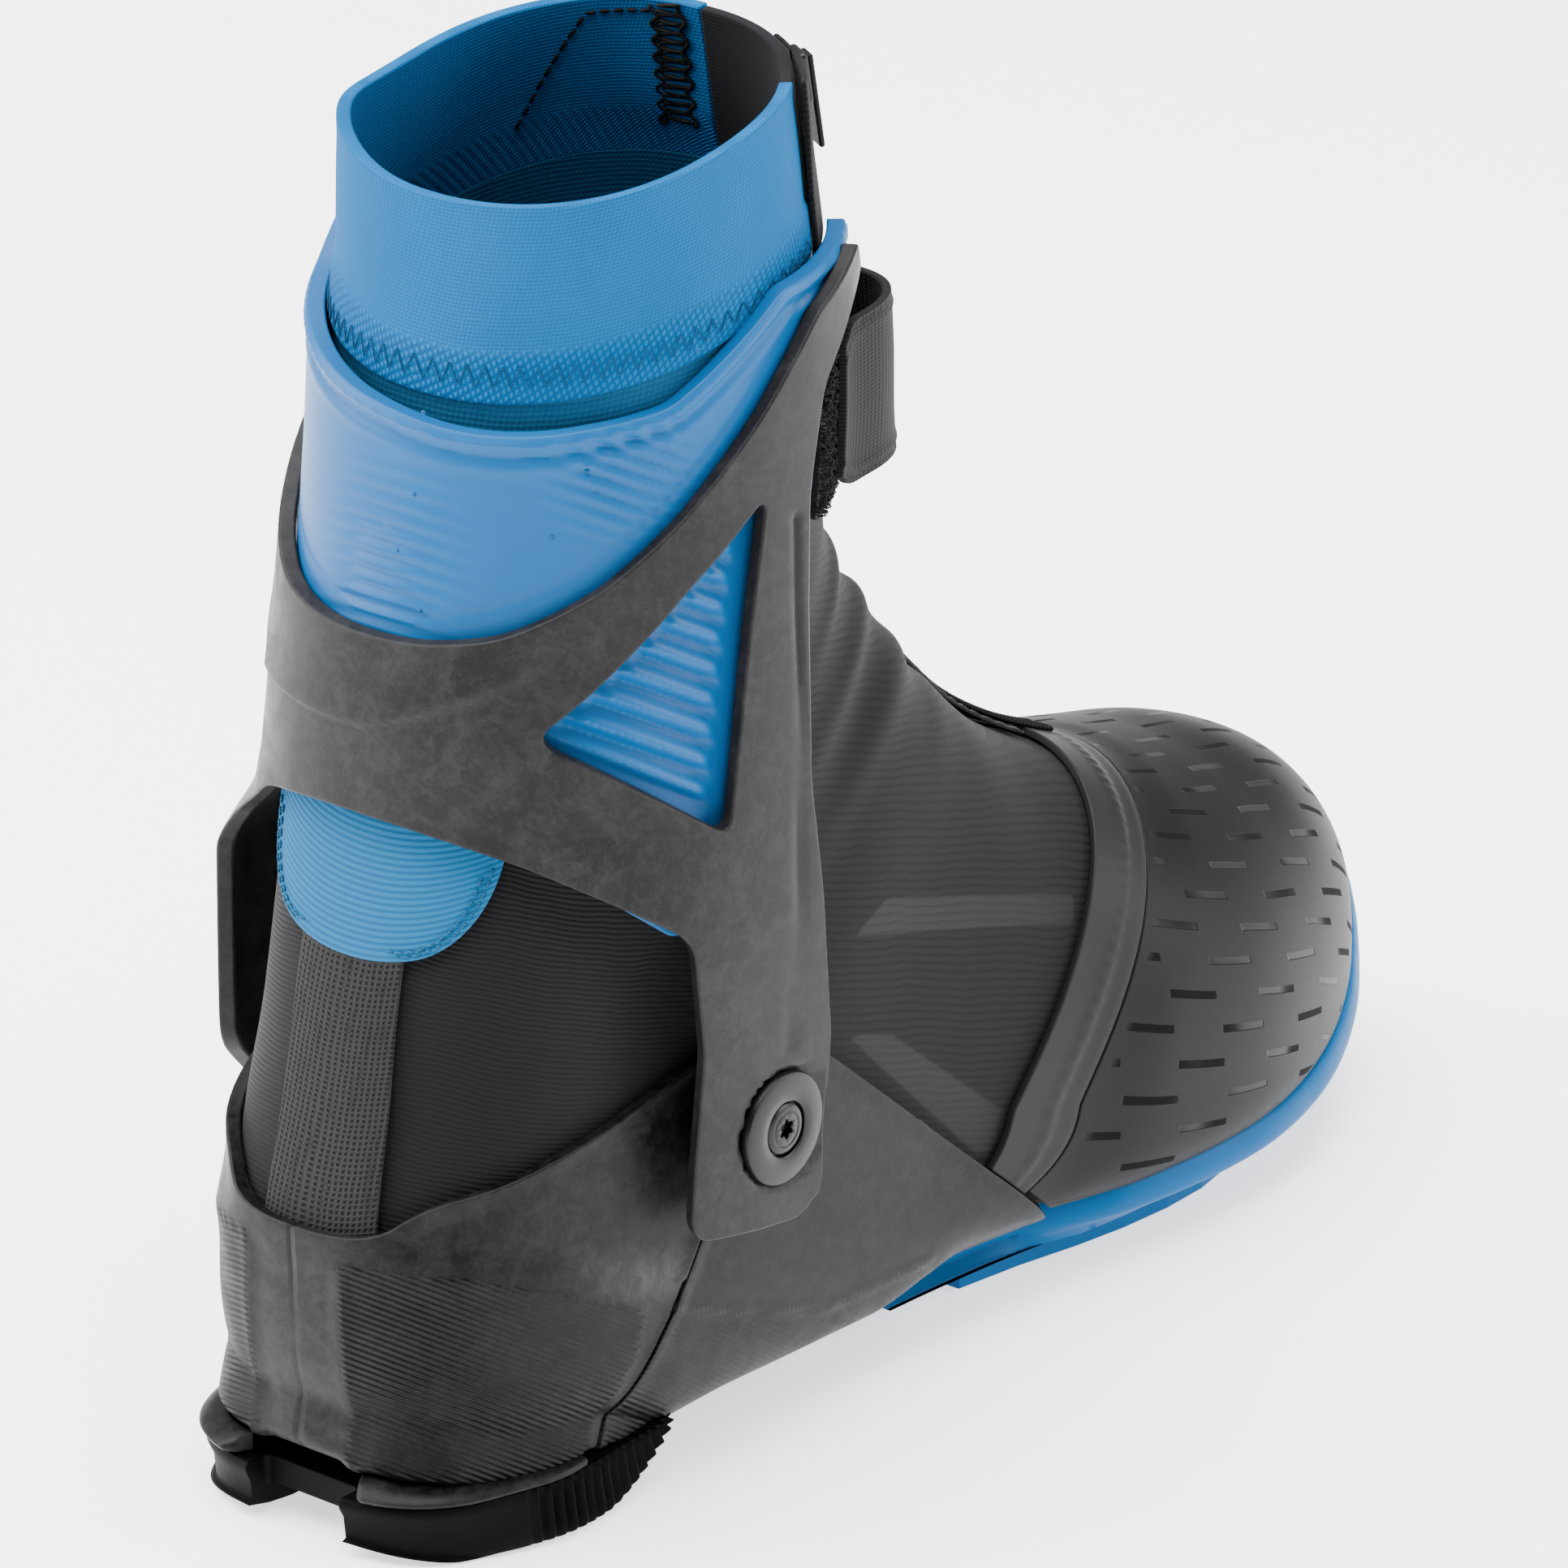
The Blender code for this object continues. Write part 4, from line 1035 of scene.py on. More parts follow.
def make_collar_stitching():
    u = np.linspace(0.175, 0.985, 128)
    base = station_on_line(u, SEAM_LINE)
    zig = np.where(np.arange(len(u)) % 2, 6.6, 3.0) * (1 / MM_PER_STATION)
    path = shaft(base + zig, u, 0.95)
    finish_piece(threads("collar_zigzag", GREY_THREAD, list(zip(path, path[1:])), 0.13), CUFF)

    line = path_on_shaft([(18.6, 0.845), (19.0, 0.862), (19.45, 0.885), (19.8, 0.905)], -2.25, 60)
    across = path_on_shaft([(19.8, 0.905), (19.82, 0.95), (19.82, 0.985)], -2.25, 40)
    ends = dashes_along(line, 2.2, 0.5) + dashes_along(across, 1.8, 0.6)
    finish_piece(threads("lining_stitch", BLACK_THREAD, ends, 0.36), CUFF)

    ends = []
    for k, t in enumerate(np.linspace(18.4, 19.9, 26)):
        lean = 0.05 if k % 2 else -0.05
        ends.append((shaft(t, 0.968, -2.3), shaft(t + lean, 0.990, -2.3)))
    edge = path_on_shaft([(18.3, 0.968), (19.9, 0.968)], -2.3, 60)
    ends += dashes_along(edge, 1.3, 0.25)
    wander = np.linspace(18.3, 19.9, 90)
    for centre, swing, pace in ((0.9655, 0.0035, 29.0), (0.990, 0.0030, 23.0)):
        thick = shaft(wander, centre + swing * np.sin(pace * wander), -2.35)
        ends += list(zip(thick, thick[1:]))
    finish_piece(threads("lining_overlock", BLACK_THREAD, ends, 0.42), CUFF)


def make_zip_tape():
    t, u = spread((15.2, RIM - 0.12, 60), (0.068, 0.098, 12))
    tape = sheet_solid("zip_tape", TAPE_LOOK, shaft(t, u, 1.6), shaft(t, u, 0.85), edge=0.2)
    finish_piece(tape, CUFF, ["zip_tape_collar"])
    ends = []
    for k, t in enumerate(np.linspace(15.5, 19.25, 64)):
        shift = 0.0022 if k % 2 else -0.0022
        ends.append((shaft(t, 0.0835 + shift - 0.004, 1.95), shaft(t, 0.0835 + shift + 0.004, 1.95)))
    finish_piece(threads("zip_teeth", PIVOT_LOOK, ends, 0.42), CUFF)


# ---------------------------------------------------------------- cuff shells

FLARE = 6.6           # how far the medial arm's rear edge stands off the ankle
FRAME_TOP = [(40, 213, 1), (56, 206, 8), (71, 191.5, 30), (87, 177.5, 30), (100, 167.5, 20), (112, 160, 20),
             (124, 155, 0), (140, 155, 0), (140, 127.5, 0), (124, 127.5, 0)]
FRAME_FRONT = [(78, 48.5, 20), (62.5, 46.5, 8), (57, 76, 40), (60.5, 125, 60), (58.5, 175, 30),
               (54, 193, 12), (43, 203.5, 8), (37, 208, 1)]
FRAME_OUTLINE = rounded(FRAME_TOP + [(114, 121.5, 25), (90.5, 105, 9), (89, 84, 20),
                                     (93.5, 51, 5)] + FRAME_FRONT, 10)
MEDIAL_OUTLINE = rounded(FRAME_TOP + [(116, 123, 10), (107.5, 112, 6), (104.5, 90, 20), (102, 64, 14),
                                      (91, 51, 8)]
                         + FRAME_FRONT, 10)
WINDOW = rounded([(111, 142.5, 3.5), (81, 121, 2.5), (69.5, 178, 1.5), (86, 165.5, 25)], 10)
LINER_OUTLINE = rounded([
    (34, 218.5, 1), (62, 216.5, 8), (75, 208.2, 12), (86, 201, 15), (98, 198, 15), (110, 194.3, 10),
    (125, 191, 0),
    (140, 191, 0), (140, 134, 0), (118, 134, 0), (107, 122.5, 5), (92, 111, 3), (64, 108, 3), (63, 180, 0),
    (59, 197, 10), (47, 207.5, 8), (34, 215, 1)], 10)
ARM_GROOVE = np.array([(62.4, 172), (62.4, 149), (63.2, 127.5), (65.4, 106.5), (66.7, 92), (68.1, 79)],
                      float)


def line_distance(points, line):
    """Distance from each (y, z) to an open line."""
    best = np.full(points.shape[:-1], 1e9)
    for (ax, ay), (bx, by) in zip(line, line[1:]):
        dx, dy = bx - ax, by - ay
        h = np.clip(((points[..., 0] - ax) * dx + (points[..., 1] - ay) * dy) / (dx * dx + dy * dy), 0, 1)
        best = np.minimum(best, np.hypot(points[..., 0] - ax - h * dx, points[..., 1] - ay - h * dy))
    return best


def frame_keep(points, a, z):
    side = points[..., 1:]
    own = np.where(points[..., 0] < 0, polygon_distance(side, FRAME_OUTLINE),
                   polygon_distance(side, MEDIAL_OUTLINE))
    return np.minimum(own, -polygon_distance(side, WINDOW))


def window_depth(points):
    """1 in and near the side windows, fading out under the frame."""
    return smooth((polygon_distance(points[..., 1:], WINDOW) + 7.5) / 5.0)


def frame_relief(a, z, points, depth):
    x, y = points[..., 0], points[..., 1]
    step = 141.0 + 0.30 * np.maximum(-x, 0) + 0.02 * x ** 2 * (x < 0) * 0.25
    fade = smooth((x + 30) / 12) * smooth((54 - x) / 10) * (y > 90)
    proud = 0.95 * smooth((z - step) / 0.9) * np.exp(-np.maximum(z - step, 0) / 11) * fade
    medial = 1.2 * bell(x - 40, 8) * smooth((z - step) / 0.9) * np.exp(-np.maximum(z - step, 0) / 6) * fade
    arm = line_distance(points[..., 1:], ARM_GROOVE)
    groove = -0.55 * bell(arm, 0.75)
    ring = np.hypot(y - PIVOT_Y, z - PIVOT_Z)
    seat = -1.2 * smooth((10.75 - ring) / 0.5)
    return proud + medial + groove + seat


def make_frame():
    z, a = spread((42, 216, 200), (2.3, -2.3, 252))

    def surface(a, z, offset):
        points = cuff(a, z, offset)
        flare = FLARE * smooth((points[..., 1] - 82) / 20) * smooth((120 - z) / 18) * (points[..., 0] > 0)
        return points + np.stack([flare, 0 * flare, 0 * flare], -1)

    def marks(a, z, points):
        arm = line_distance(points[..., 1:], ARM_GROOVE)
        centre = bell(points[..., 0], 0.32) * (points[..., 1] > 108)
        return {"groove": np.maximum(bell(arm, 0.65), 0.8 * centre)}

    item = clipped_shell("cuff_frame", FRAME_LOOK, a, z, surface, frame_keep, 2.8, frame_relief, 0.45,
                         marks)
    finish_piece(item, CUFF, ["cuff_frame"])


def liner_keep(points, a, z):
    side = np.stack([points[..., 1], points[..., 2] - 0.13 * points[..., 0]], -1)
    return polygon_distance(side, LINER_OUTLINE)


# Grooves of the liner: how far they rise towards the rear, and how far apart they are, in millimetres.
GROOVE_SLOPE = 0.565
GROOVE_PITCH = 5.7
FINE_GROOVE_PITCH = 2.9


def liner_relief(a, z, points, depth):
    y = points[..., 1]
    level = z - GROOVE_SLOPE * (y - 90)
    window = polygon_distance(points[..., 1:], WINDOW)
    inside = smooth((window - 1.2) / 3.5)
    taper = smooth((y - 72 - 0.10 * (170 - z)) / 5)
    wave = np.sin(2 * np.pi * level / GROOVE_PITCH)
    bars = inside * taper * (0.35 + np.sign(wave) * np.abs(wave) ** 0.8)
    fine = np.sin(2 * np.pi * level / FINE_GROOVE_PITCH)
    rear = bell(a, 0.22) * bell(z - 166, 15)
    side = bell(a - 0.95, 0.20) * bell(z - 186, 8)
    shallow = 0.34 * fine * np.clip(rear + side * 1.6, 0, 1)
    top = smooth((z - 150) / 10)
    bead = top * (0.75 * bell(depth - 1.3, 0.9) - 0.35 * bell(depth - 3.4, 0.7)
                  + 0.25 * bell(depth - 5.2, 0.9))
    frame_gap = -polygon_distance(points[..., 1:], FRAME_OUTLINE)
    line = -0.22 * bell(frame_gap - 1.9, 0.55) * (z > 150)
    return bars + shallow + bead + line - 1.0 * window_depth(points)


def make_liner():
    z, a = spread((96, 224, 190), (2.3, -2.3, 300))

    def surface(a, z, offset):
        return cuff(a, z, offset - 3.1)

    item = clipped_shell("cuff_liner", LINER_LOOK, a, z, surface, liner_keep, 2.8, liner_relief, 0.4)
    finish_piece(item, CUFF, ["cuff_liner"])
    make_gate_marks()


def make_gate_marks():
    """Small moulding dots on the liner."""
    spots = [(0.12, 195), (0.10, 181), (0.16, 162), (0.17, 156), (0.19, 150), (0.78, 187), (0.66, 176),
             (1.12, 196), (1.20, 205), (0.05, 171)]
    dots = []
    for a, z in spots:
        centre = cuff(a, z, -3.05)
        out = cuff(a, z, 1.0) - cuff(a, z, 0.0)
        dots.append((centre - 0.12 * out, centre + 0.22 * out))
    finish_piece(threads("liner_gate_dots", LINER_LOOK, dots, 0.42, 10), CUFF)


# ---------------------------------------------------------------- pivots

# Distance of each pivot piece's seat from the boot's middle plane.
BOSS_SEAT, CAP_SEAT, SCREW_SEAT = 42.7, 48.4, 49.2


def on_pivot(side, distance):
    turn = Matrix.Rotation(side * math.pi / 2, 4, "Y")
    return Matrix.Translation(Vector((side * distance, PIVOT_Y, PIVOT_Z)) * MM) @ turn


def make_pivots():
    for label, side in (("lateral", -1), ("medial", 1)):
        cap = turned("pivot_cap_" + label, PIVOT_LOOK,
                     [(0, 0.4), (4.9, 0.4), (5.0, 1.5), (5.35, 1.72), (7.0, 1.78), (9.2, 1.62),
                      (9.95, 1.35), (10.15, 0.9), (10.15, 0), (4.0, 0), (4.0, -3.0), (0, -3.0)],
                     on_pivot(side, CAP_SEAT), 96)
        finish_piece(cap, LOWER, ["pivot_bolt_" + label])
        make_screw(label, side)
        boss = turned("pivot_boss_" + label, COUNTER_LOOK,
                      [(0, 3.0), (8.6, 3.0), (9.0, 2.7), (9.9, 0), (0, 0)],
                      on_pivot(side, BOSS_SEAT), 64)
        finish_piece(boss, LOWER, ["pivot_boss_" + label])


def make_screw(label, side):
    """Screw head with a six-lobed recess."""
    steps = 96
    angle = np.linspace(0, 2 * np.pi, steps, endpoint=False)
    lobes = 1.55 + 0.32 * np.cos(6 * angle)
    rings = [(lobes * 0.0 + 1e-3, -0.6), (lobes * 0.85, -0.6), (lobes, -0.45), (lobes, 0.72),
             (lobes + 0.2, 0.86), (2.9 + 0 * angle, 0.86), (3.1 + 0 * angle, 0.70), (3.3 + 0 * angle, 0.86),
             (4.0 + 0 * angle, 0.84), (4.55 + 0 * angle, 0.45), (4.6 + 0 * angle, -0.6)]
    points = [(r * math.cos(v), r * math.sin(v), z) for radius, z in rings for r, v in zip(radius, angle)]
    mesh = mesh_from("pivot_screw", points, grid_faces(len(rings), steps, True, 0, True))
    mesh.transform(on_pivot(side, SCREW_SEAT))
    item = shade(new_object("pivot_screw_" + label, mesh, PIVOT_LOOK), 40)
    finish_piece(item, LOWER, ["pivot_screw_" + label])


# ---------------------------------------------------------------- heel counter and midfoot chassis

COUNTER_OUTLINE = rounded([(170, 57), (138, 57, 10), (132, 64.5, 15), (111, 70.9, 30), (87, 76.7, 30),
                           (74, 79, 5), (79, 52, 15), (91.5, 31), (105, 5), (170, 5)], 10)
CHASSIS_OUTLINE = rounded([(73.2, 79, 4), (61, 76.5, 12), (47.8, 68), (-14.5, 14.0), (-12, 13.8),
                           (14.4, 12.6, 4), (21.1, 8), (24, 5), (104.4, 5), (90.8, 31), (78.3, 52, 15)], 10)
HEEL_PANEL = rounded([(145, 53.5), (129, 51.8), (110.5, 44.5), (95.4, 37.5, 4), (97.5, 27, 3), (105.5, 12),
                      (145, 10)])
WING_PANEL = np.array([(90, 35.2), (70, 27.2), (48.5, 19.6), (23, 19.0), (20, 10), (104, 6)], float)
# Line above the heel panel along which a highlight is painted.
HIGHLIGHT_LINE = np.array([(89, 42), (96, 43.5), (106, 47), (120, 54)], float)
DOTTED_LINE = np.array([(89.5, 35.4), (70, 27.4), (48.5, 19.8), (20, 19.0)], float)


SPINE_EDGE = 10.2         # half the width of the smooth spine down the back of the counter


def composite_marks(a, b, points):
    x, side = points[..., 0], points[..., 1:]
    heel = smooth(polygon_distance(side, HEEL_PANEL) / 0.8 + 0.5) * smooth((np.abs(x) - SPINE_EDGE) / 0.8)
    wing = smooth(polygon_distance(side, WING_PANEL) / 0.8 + 0.5) * 0.55
    dotted = bell(line_distance(side, DOTTED_LINE), 0.35)
    seam = bell(x, 0.35) * (points[..., 1] > 122)
    # Painted highlight along the line above the heel panel, and a fainter one down the spine: light painted
    # into the colour.
    worn = bell(line_distance(side, HIGHLIGHT_LINE), 4.2) * smooth((118 - points[..., 1]) / 24) * (1 - heel)
    spine = smooth((SPINE_EDGE - np.abs(x)) / 2) * smooth((points[..., 1] - 118) / 8)
    spine = spine * smooth((62 - points[..., 2]) / 14)
    return {"panel": np.maximum(heel, wing), "seam": seam, "dotted": dotted,
            "worn": np.clip(worn + 0.32 * spine, 0, 1)}


def counter_relief(t, f, points, depth):
    x, y, z = points[..., 0], points[..., 1], points[..., 2]
    panel = composite_marks(t, f, points)["panel"]
    lip = 0.55 * bell(depth, 1.5) * (z > 40)
    spine = 0.5 * bell(np.abs(x) - SPINE_EDGE, 1.4) * smooth((y - 120) / 8) * smooth((54 - z) / 4)
    shoulder = 0.9 * bell(z - 55 + 0.35 * (137 - y), 5) * smooth((y - 85) / 20)
    return lip + spine + 0.30 * panel + shoulder


def chassis_relief(t, f, points, depth):
    edge = 0.35 * bell(depth - 0.6, 1.2)
    ridge = 0.4 * bell(line_distance(points[..., 1:], DOTTED_LINE), 0.9)
    return edge + ridge


HEEL_AXIS_Y = 104


def stout(points, offset):
    """Push the heel's lower wall straight down onto the tread, which the foot form does not do."""
    x, y, z = points[..., 0], points[..., 1] - HEEL_AXIS_Y, points[..., 2]
    loop = np.vstack([HEEL_PLAN, HEEL_PLAN[:1]])
    spots = np.linspace(0, length_along(loop)[-1], 600)
    plan = plan_points(loop, spots) - (0, HEEL_AXIS_Y)
    turn = np.arctan2(plan[:, 1], plan[:, 0])
    order = np.argsort(turn)
    radius, angle = np.hypot(x, y), np.arctan2(y, x)
    limit = np.interp(angle, turn[order], np.hypot(plan[:, 0], plan[:, 1])[order], period=2 * np.pi)
    drop = np.clip((36 - z) / 24, 0, 1)
    target = limit - 1.3 - 5.0 * (1 - drop) ** 1.3 + offset
    weight = smooth((radius / limit - 0.52) / 0.26) * smooth((y + HEEL_AXIS_Y - 64) / 24) * (drop > 0)
    push = 1 + weight * np.maximum(target - radius, 0) / np.maximum(radius, 1)
    low = 1.6 * smooth((18 - z) / 6) * weight
    y = points[..., 1]
    low = low + 5.0 * smooth((30 - z) / 18) * smooth((y - 6) / 24) * smooth((104 - y) / 22)
    return np.stack([x * push, HEEL_AXIS_Y + (y - HEEL_AXIS_Y) * push, np.maximum(z - low, 1.0)], -1)


def make_composites():
    def surface(t, f, offset):
        return stout(foot(t, f, offset + 2.6), offset)

    for name, rows, outline, relief in (("heel_counter", (7, 15, 150), COUNTER_OUTLINE, counter_relief),
                                        ("midfoot_chassis", (5, 13, 170), CHASSIS_OUTLINE,
                                         chassis_relief)):
        t, f = spread(rows, (0.12, 0.88, 300))
        shell = clipped_shell(name, COUNTER_LOOK, t, f, surface, within(outline), 2.2, relief, 0.5,
                              composite_marks)
        finish_piece(shell, LOWER, [name])


# ---------------------------------------------------------------- achilles strip and patch

def make_trim():
    t, f = spread((12.9, 16.2, 90), (0.455, 0.545, 46))
    u = 0.5 - 0.012 * (15.3 - t) / 2.1 + (f - 0.5) * (0.081 / 0.09)
    strip = sheet_solid("achilles_strip", STRIP_LOOK, shaft(t[:64], u[:64], 1.55),
                        shaft(t[:64], u[:64], 0.75), edge=0.3,
                        flow=np.stack([(u * 230)[:64], (t * 24)[:64], 0 * t[:64]], -1).reshape(-1, 3))
    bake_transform(strip)
    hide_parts("achilles_strip")
    make_patch()


def make_patch():
    """Blue twill patch with a double edge stitch; its outline is in millimetres round and up the heel."""
    scale = np.array([250.0, 24.5])
    shape = rounded([(150.5, 407, 0), (151, 371, 12), (101, 371, 13), (100.5, 407, 0)], 12)
    t, u = spread((15.0, 16.7, 80), (0.385, 0.62, 120))

    def keep(points, t, u):
        return polygon_distance(np.stack([u, t], -1) * scale, shape)

    def surface(t, u, offset):
        return shaft(t, u, offset + 1.65)

    def relief(t, u, points, depth):
        return 0.12 * np.sin(np.clip(depth, 0, 3.2) * 1.9)

    def marks(t, u, points):
        return {"flow": np.stack([u * 250, t * 24.5, 0 * t], -1)}

    patch = clipped_shell("achilles_patch", PATCH_KNIT, t, u, surface, keep, 0.8, relief, 0.3, marks)
    pieces = [patch]
    centre = shape.mean(0)
    for number, inset in ((1, 1.4), (2, 2.8)):
        line = np.array([p + (centre - p) / np.linalg.norm(centre - p) * inset * 1.15 for p in shape[1:-1]])
        path = shaft(line[:, 1] / scale[1], line[:, 0] / scale[0], 1.85)
        pieces.append(threads(f"patch_stitch_{number}", BLUE_THREAD, dashes_along(path, 1.5, 0.5), 0.24))
    for piece in pieces:
        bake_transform(piece)
    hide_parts("achilles_patch")


# ---------------------------------------------------------------- toe cap, band and instep tape

BAND_FRONT, BAND_REAR = 4.85, 5.5
TOE_LINE = [(-16.4, 14.4), (-34, 15.4), (-63, 16.8), (-86, 19, 8), (-103, 22, 8), (-122, 28, 8),
            (-138, 41, 8)]


def band_station(u, start):
    u = (np.asarray(u) + 0.5) % 1 - 0.5
    return start + 8.0 * np.hypot(u, 0.02)


def row_length(t):
    """Length along the toe from its tip, by station."""
    known = length_along(form(np.linspace(0, 9, 181), 0.2))
    return np.interp(t, np.linspace(0, 9, 181), known)


def make_cap():
    outline = rounded([(0.4, 28.5), (-12.9, 17.3)] + TOE_LINE[1:] + [(-170, 46), (-170, 130), (20, 130)], 8)

    def chart(k, f):
        u = turn_at(3.5, f)
        return k * band_station(u, BAND_FRONT), u

    def surface(k, f, offset):
        t, u = chart(k, f)
        return shaft(t, u, offset + 2.0 - 0.5 * smooth((k - 0.90) / 0.09))

    keep = within(outline)

    def marks(k, f, points):
        t, u = chart(k, f)
        round_way = f * girth(t)
        return {"flow": np.stack([row_length(t), round_way, 0 * t], -1),
                "dashes": smooth((keep(points, k, f) - 1.0) / 0.8) * smooth((0.985 - k) / 0.01)}

    k, f = spread((0.01, 1, 150), (-0.40, 0.40, 240))
    cap = clipped_shell("toe_cap", CAP_LOOK, k, f, surface, keep, 1.2, None, 0.35, marks)
    finish_piece(cap, LOWER, ["toe_cap"])


def make_band():
    outline = rounded([(-170, 130), (-170, 14.2), (-14.8, 14.2), (49.4, 70.3), (49.4, 130)], 4)

    def surface(k, f, offset):
        u = turn_at(6.0, f)
        t = band_station(u, BAND_FRONT + 0.012) + k * (BAND_REAR - BAND_FRONT - 0.012)
        return shaft(t, u, offset + 1.7)

    def relief(k, f, points, depth):
        run = f * 275.0
        bead = 0.42 * bell(k - 0.42, 0.09) * (0.80 + 0.20 * np.sin(run * 2 * np.pi / 2.9 + 9 * k))
        flat = 0.18 * smooth((k - 0.42) / 0.12) - 0.15 * smooth((0.10 - k) / 0.10)
        return bead + flat

    k, f = spread((0, 1, 34), (-0.36, 0.36, 420))
    band = clipped_shell("rand_band", BAND_LOOK, k, f, surface, within(outline), 1.3, relief, 0.3)
    finish_piece(band, LOWER, ["rand_band"])


def make_instep_tape():
    """Tape and braided cord along the instep, over the zip's lower end."""
    t, u = spread((5.9, 8.6, 60), (-0.02, 0.02, 16))
    weave = 0.18 * np.sin(t * 30) * np.sin(u * 600)
    tape = sheet_solid("instep_tape", TAPE_LOOK, shaft(t, u, 1.6 + weave), shaft(t, u, 0.8), edge=0.2)
    finish_piece(tape, LOWER, ["zip_tape_instep"])
    ends = []
    for side in (-1, 1):
        for k in range(64):
            t0 = 5.3 + 3.4 * k / 64
            first = shaft(t0, side * 0.0085, 2.3)
            ends.append((first, shaft(t0 + 0.075, side * 0.0005, 2.45)))
    finish_piece(threads("instep_braid", BLACK_THREAD, ends, 0.62), LOWER)


# ---------------------------------------------------------------- blue forefoot sole

SOLE_WALL = 6.0           # height of the blue wall
SOLE_EDGE = 7.2           # z below which the wall's lower edge doesn't go
SOLE_FLOOR = 5.5          # z below which the underside doesn't go


def lip_height(y):
    """Top edge of the blue sole, by distance along the boot."""
    y_known = [-146, -141, -138, -130, -122, -112, -103, -86, -63, -34, -10, 14, 20]
    z_known = [41, 41, 39.0, 32.6, 27.6, 24.0, 21.3, 18.1, 16.3, 15.2, 13.4, 12.2, 9]
    return np.interp(y, y_known, z_known)


def side_at_height(t, z, medial):
    """Point of the form's side at station t and height z."""
    low, high = np.full(np.shape(t), 0.22), np.full(np.shape(t), 0.49)
    for _ in range(30):
        middle = (low + high) / 2
        over = form(t, middle)[..., 2] > z
        low, high = np.where(over, middle, low), np.where(over, high, middle)
    u = (low + high) / 2
    u = np.where(medial, 1 - u, u)
    return form(t, u), form_normal(t, u)


def underside(inset, edge):
    """Height of the sole's underside, inset from its side, whose lower edge is at the height edge."""
    near = np.clip(inset / 5, 0, 1)
    drop = near * np.maximum(edge - 13.8, 0) + 0.20 * np.minimum(inset, 5)
    low = edge - drop - 0.24 * np.maximum(inset - 5, 0) - 1.3 * np.maximum(inset - 8, 0)
    return np.maximum(low, SOLE_FLOOR)


def make_blue_sole():
    """Blue sole: a wall that runs round the toe, and an underside that slants in to the treads."""
    half = 170
    t_side = 8.35 * (1 - np.linspace(0, 1, half)) + 0.02
    t_all = np.concatenate([t_side, t_side[::-1]])
    medial = np.concatenate([np.zeros(half, bool), np.ones(half, bool)])
    plan = form(t_all, np.where(medial, 0.70, 0.30))[:, :2]
    for _ in range(4):
        plan[1:-1] = (plan[:-2] + 2 * plan[1:-1] + plan[2:]) / 4
    along = np.gradient(plan, axis=0)
    out = unit(np.stack([-along[:, 1], along[:, 0]], -1))
    if out[half // 2, 0] > 0:
        out = -out
    y = plan[:, 1]
    top = lip_height(y)
    edge = np.maximum(top - SOLE_WALL, SOLE_EDGE)
    upper_plan, _ = side_at_height(t_all, np.maximum(top, 14.0), medial)
    upper_plan = upper_plan[:, :2]
    rows = []
    for offset, share in ((0.2, 0.99), (1.2, 1.0), (2.0, 0.95), (2.6, 0.84), (3.1, 0.66), (3.5, 0.45),
                          (3.7, 0.25), (3.5, 0.09), (3.0, 0.0)):
        z = edge + (top - edge) * share
        rows.append(np.concatenate([upper_plan + out * offset, z[:, None]], 1))
    for inset in (1.6, 3.0, 4.6, 6.5, 9.0, 12.0, 15.5):
        z = underside(inset, edge) - 0.2
        base = upper_plan + (plan - upper_plan) * min(inset / 12, 1)
        rows.append(np.concatenate([base + out * (3.2 - inset), z[:, None]], 1))
    spine = np.stack([np.interp(y, [-140, -90, 20], [5, 0, 0]), np.clip(y, -120, 20)], -1)
    last = rows[-1]
    for share in (0.35, 0.7, 1.0):
        flat = last[:, :2] + (spine - last[:, :2]) * share
        z = last[:, 2] + (np.interp(y, [-140, -124, -110], [9, 7, 5.3]) - last[:, 2]) * share
        rows.append(np.concatenate([flat, z[:, None]], 1))
    inner = rows[0].copy()
    inner[:, :2] -= out * 4.0
    inner[:, 2] = np.maximum(inner[:, 2] - 3.0, 7.0)
    roof = np.stack([spine[:, 0], spine[:, 1], 0 * y + 9.5], -1)
    points = np.stack([roof, inner] + rows)
    mesh = mesh_from("forefoot_sole", points.reshape(-1, 3), grid_faces(*points.shape[:2]))
    bm = bmesh.new()
    bm.from_mesh(mesh)
    bmesh.ops.remove_doubles(bm, verts=bm.verts, dist=2e-5)
    bmesh.ops.holes_fill(bm, edges=[edge for edge in bm.edges if edge.is_boundary])
    for place, normal in (((0, 20.3, 8.2), (0, 1, 1)), ((0, 20.6, 8), (0, 1, 0.15)),
                          ((0, 19.6, 7), (0, 1, -0.8))):
        everything = bm.verts[:] + bm.edges[:] + bm.faces[:]
        bmesh.ops.bisect_plane(bm, geom=everything, plane_co=Vector(place) * MM, plane_no=Vector(normal),
                               clear_outer=True, dist=1e-7)
        bmesh.ops.holes_fill(bm, edges=[edge for edge in bm.edges if edge.is_boundary])
    bmesh.ops.recalc_face_normals(bm, faces=bm.faces)
    bm.to_mesh(mesh)
    bm.free()
    item = new_object("forefoot_sole", mesh, SOLE_BLUE)
    bevel(item, 0.8, 3, 55)
    finish_piece(shade(item, 45), LOWER, ["toe_outsole"])


def rounded_block(name, material, size, centre, edge, turn=0.0):
    bm = bmesh.new()
    bmesh.ops.create_cube(bm, size=1)
    bmesh.ops.scale(bm, vec=Vector(size) * MM, verts=bm.verts)
    mesh = bpy.data.meshes.new(name)
    bm.to_mesh(mesh)
    bm.free()
    mesh.transform(Matrix.Translation(Vector(centre) * MM) @ Matrix.Rotation(turn, 4, "X"))
    item = new_object(name, mesh, material)
    bevel(item, edge, 4, 30)
    return shade(item)


def make_toe_lug():
    lug = rounded_block("toe_lug", SOLE_BLUE, (17, 9, 8), (4, -134.5, 9.5), 1.6, 0.55)
    finish_piece(lug, LOWER)


# ---------------------------------------------------------------- heel tread

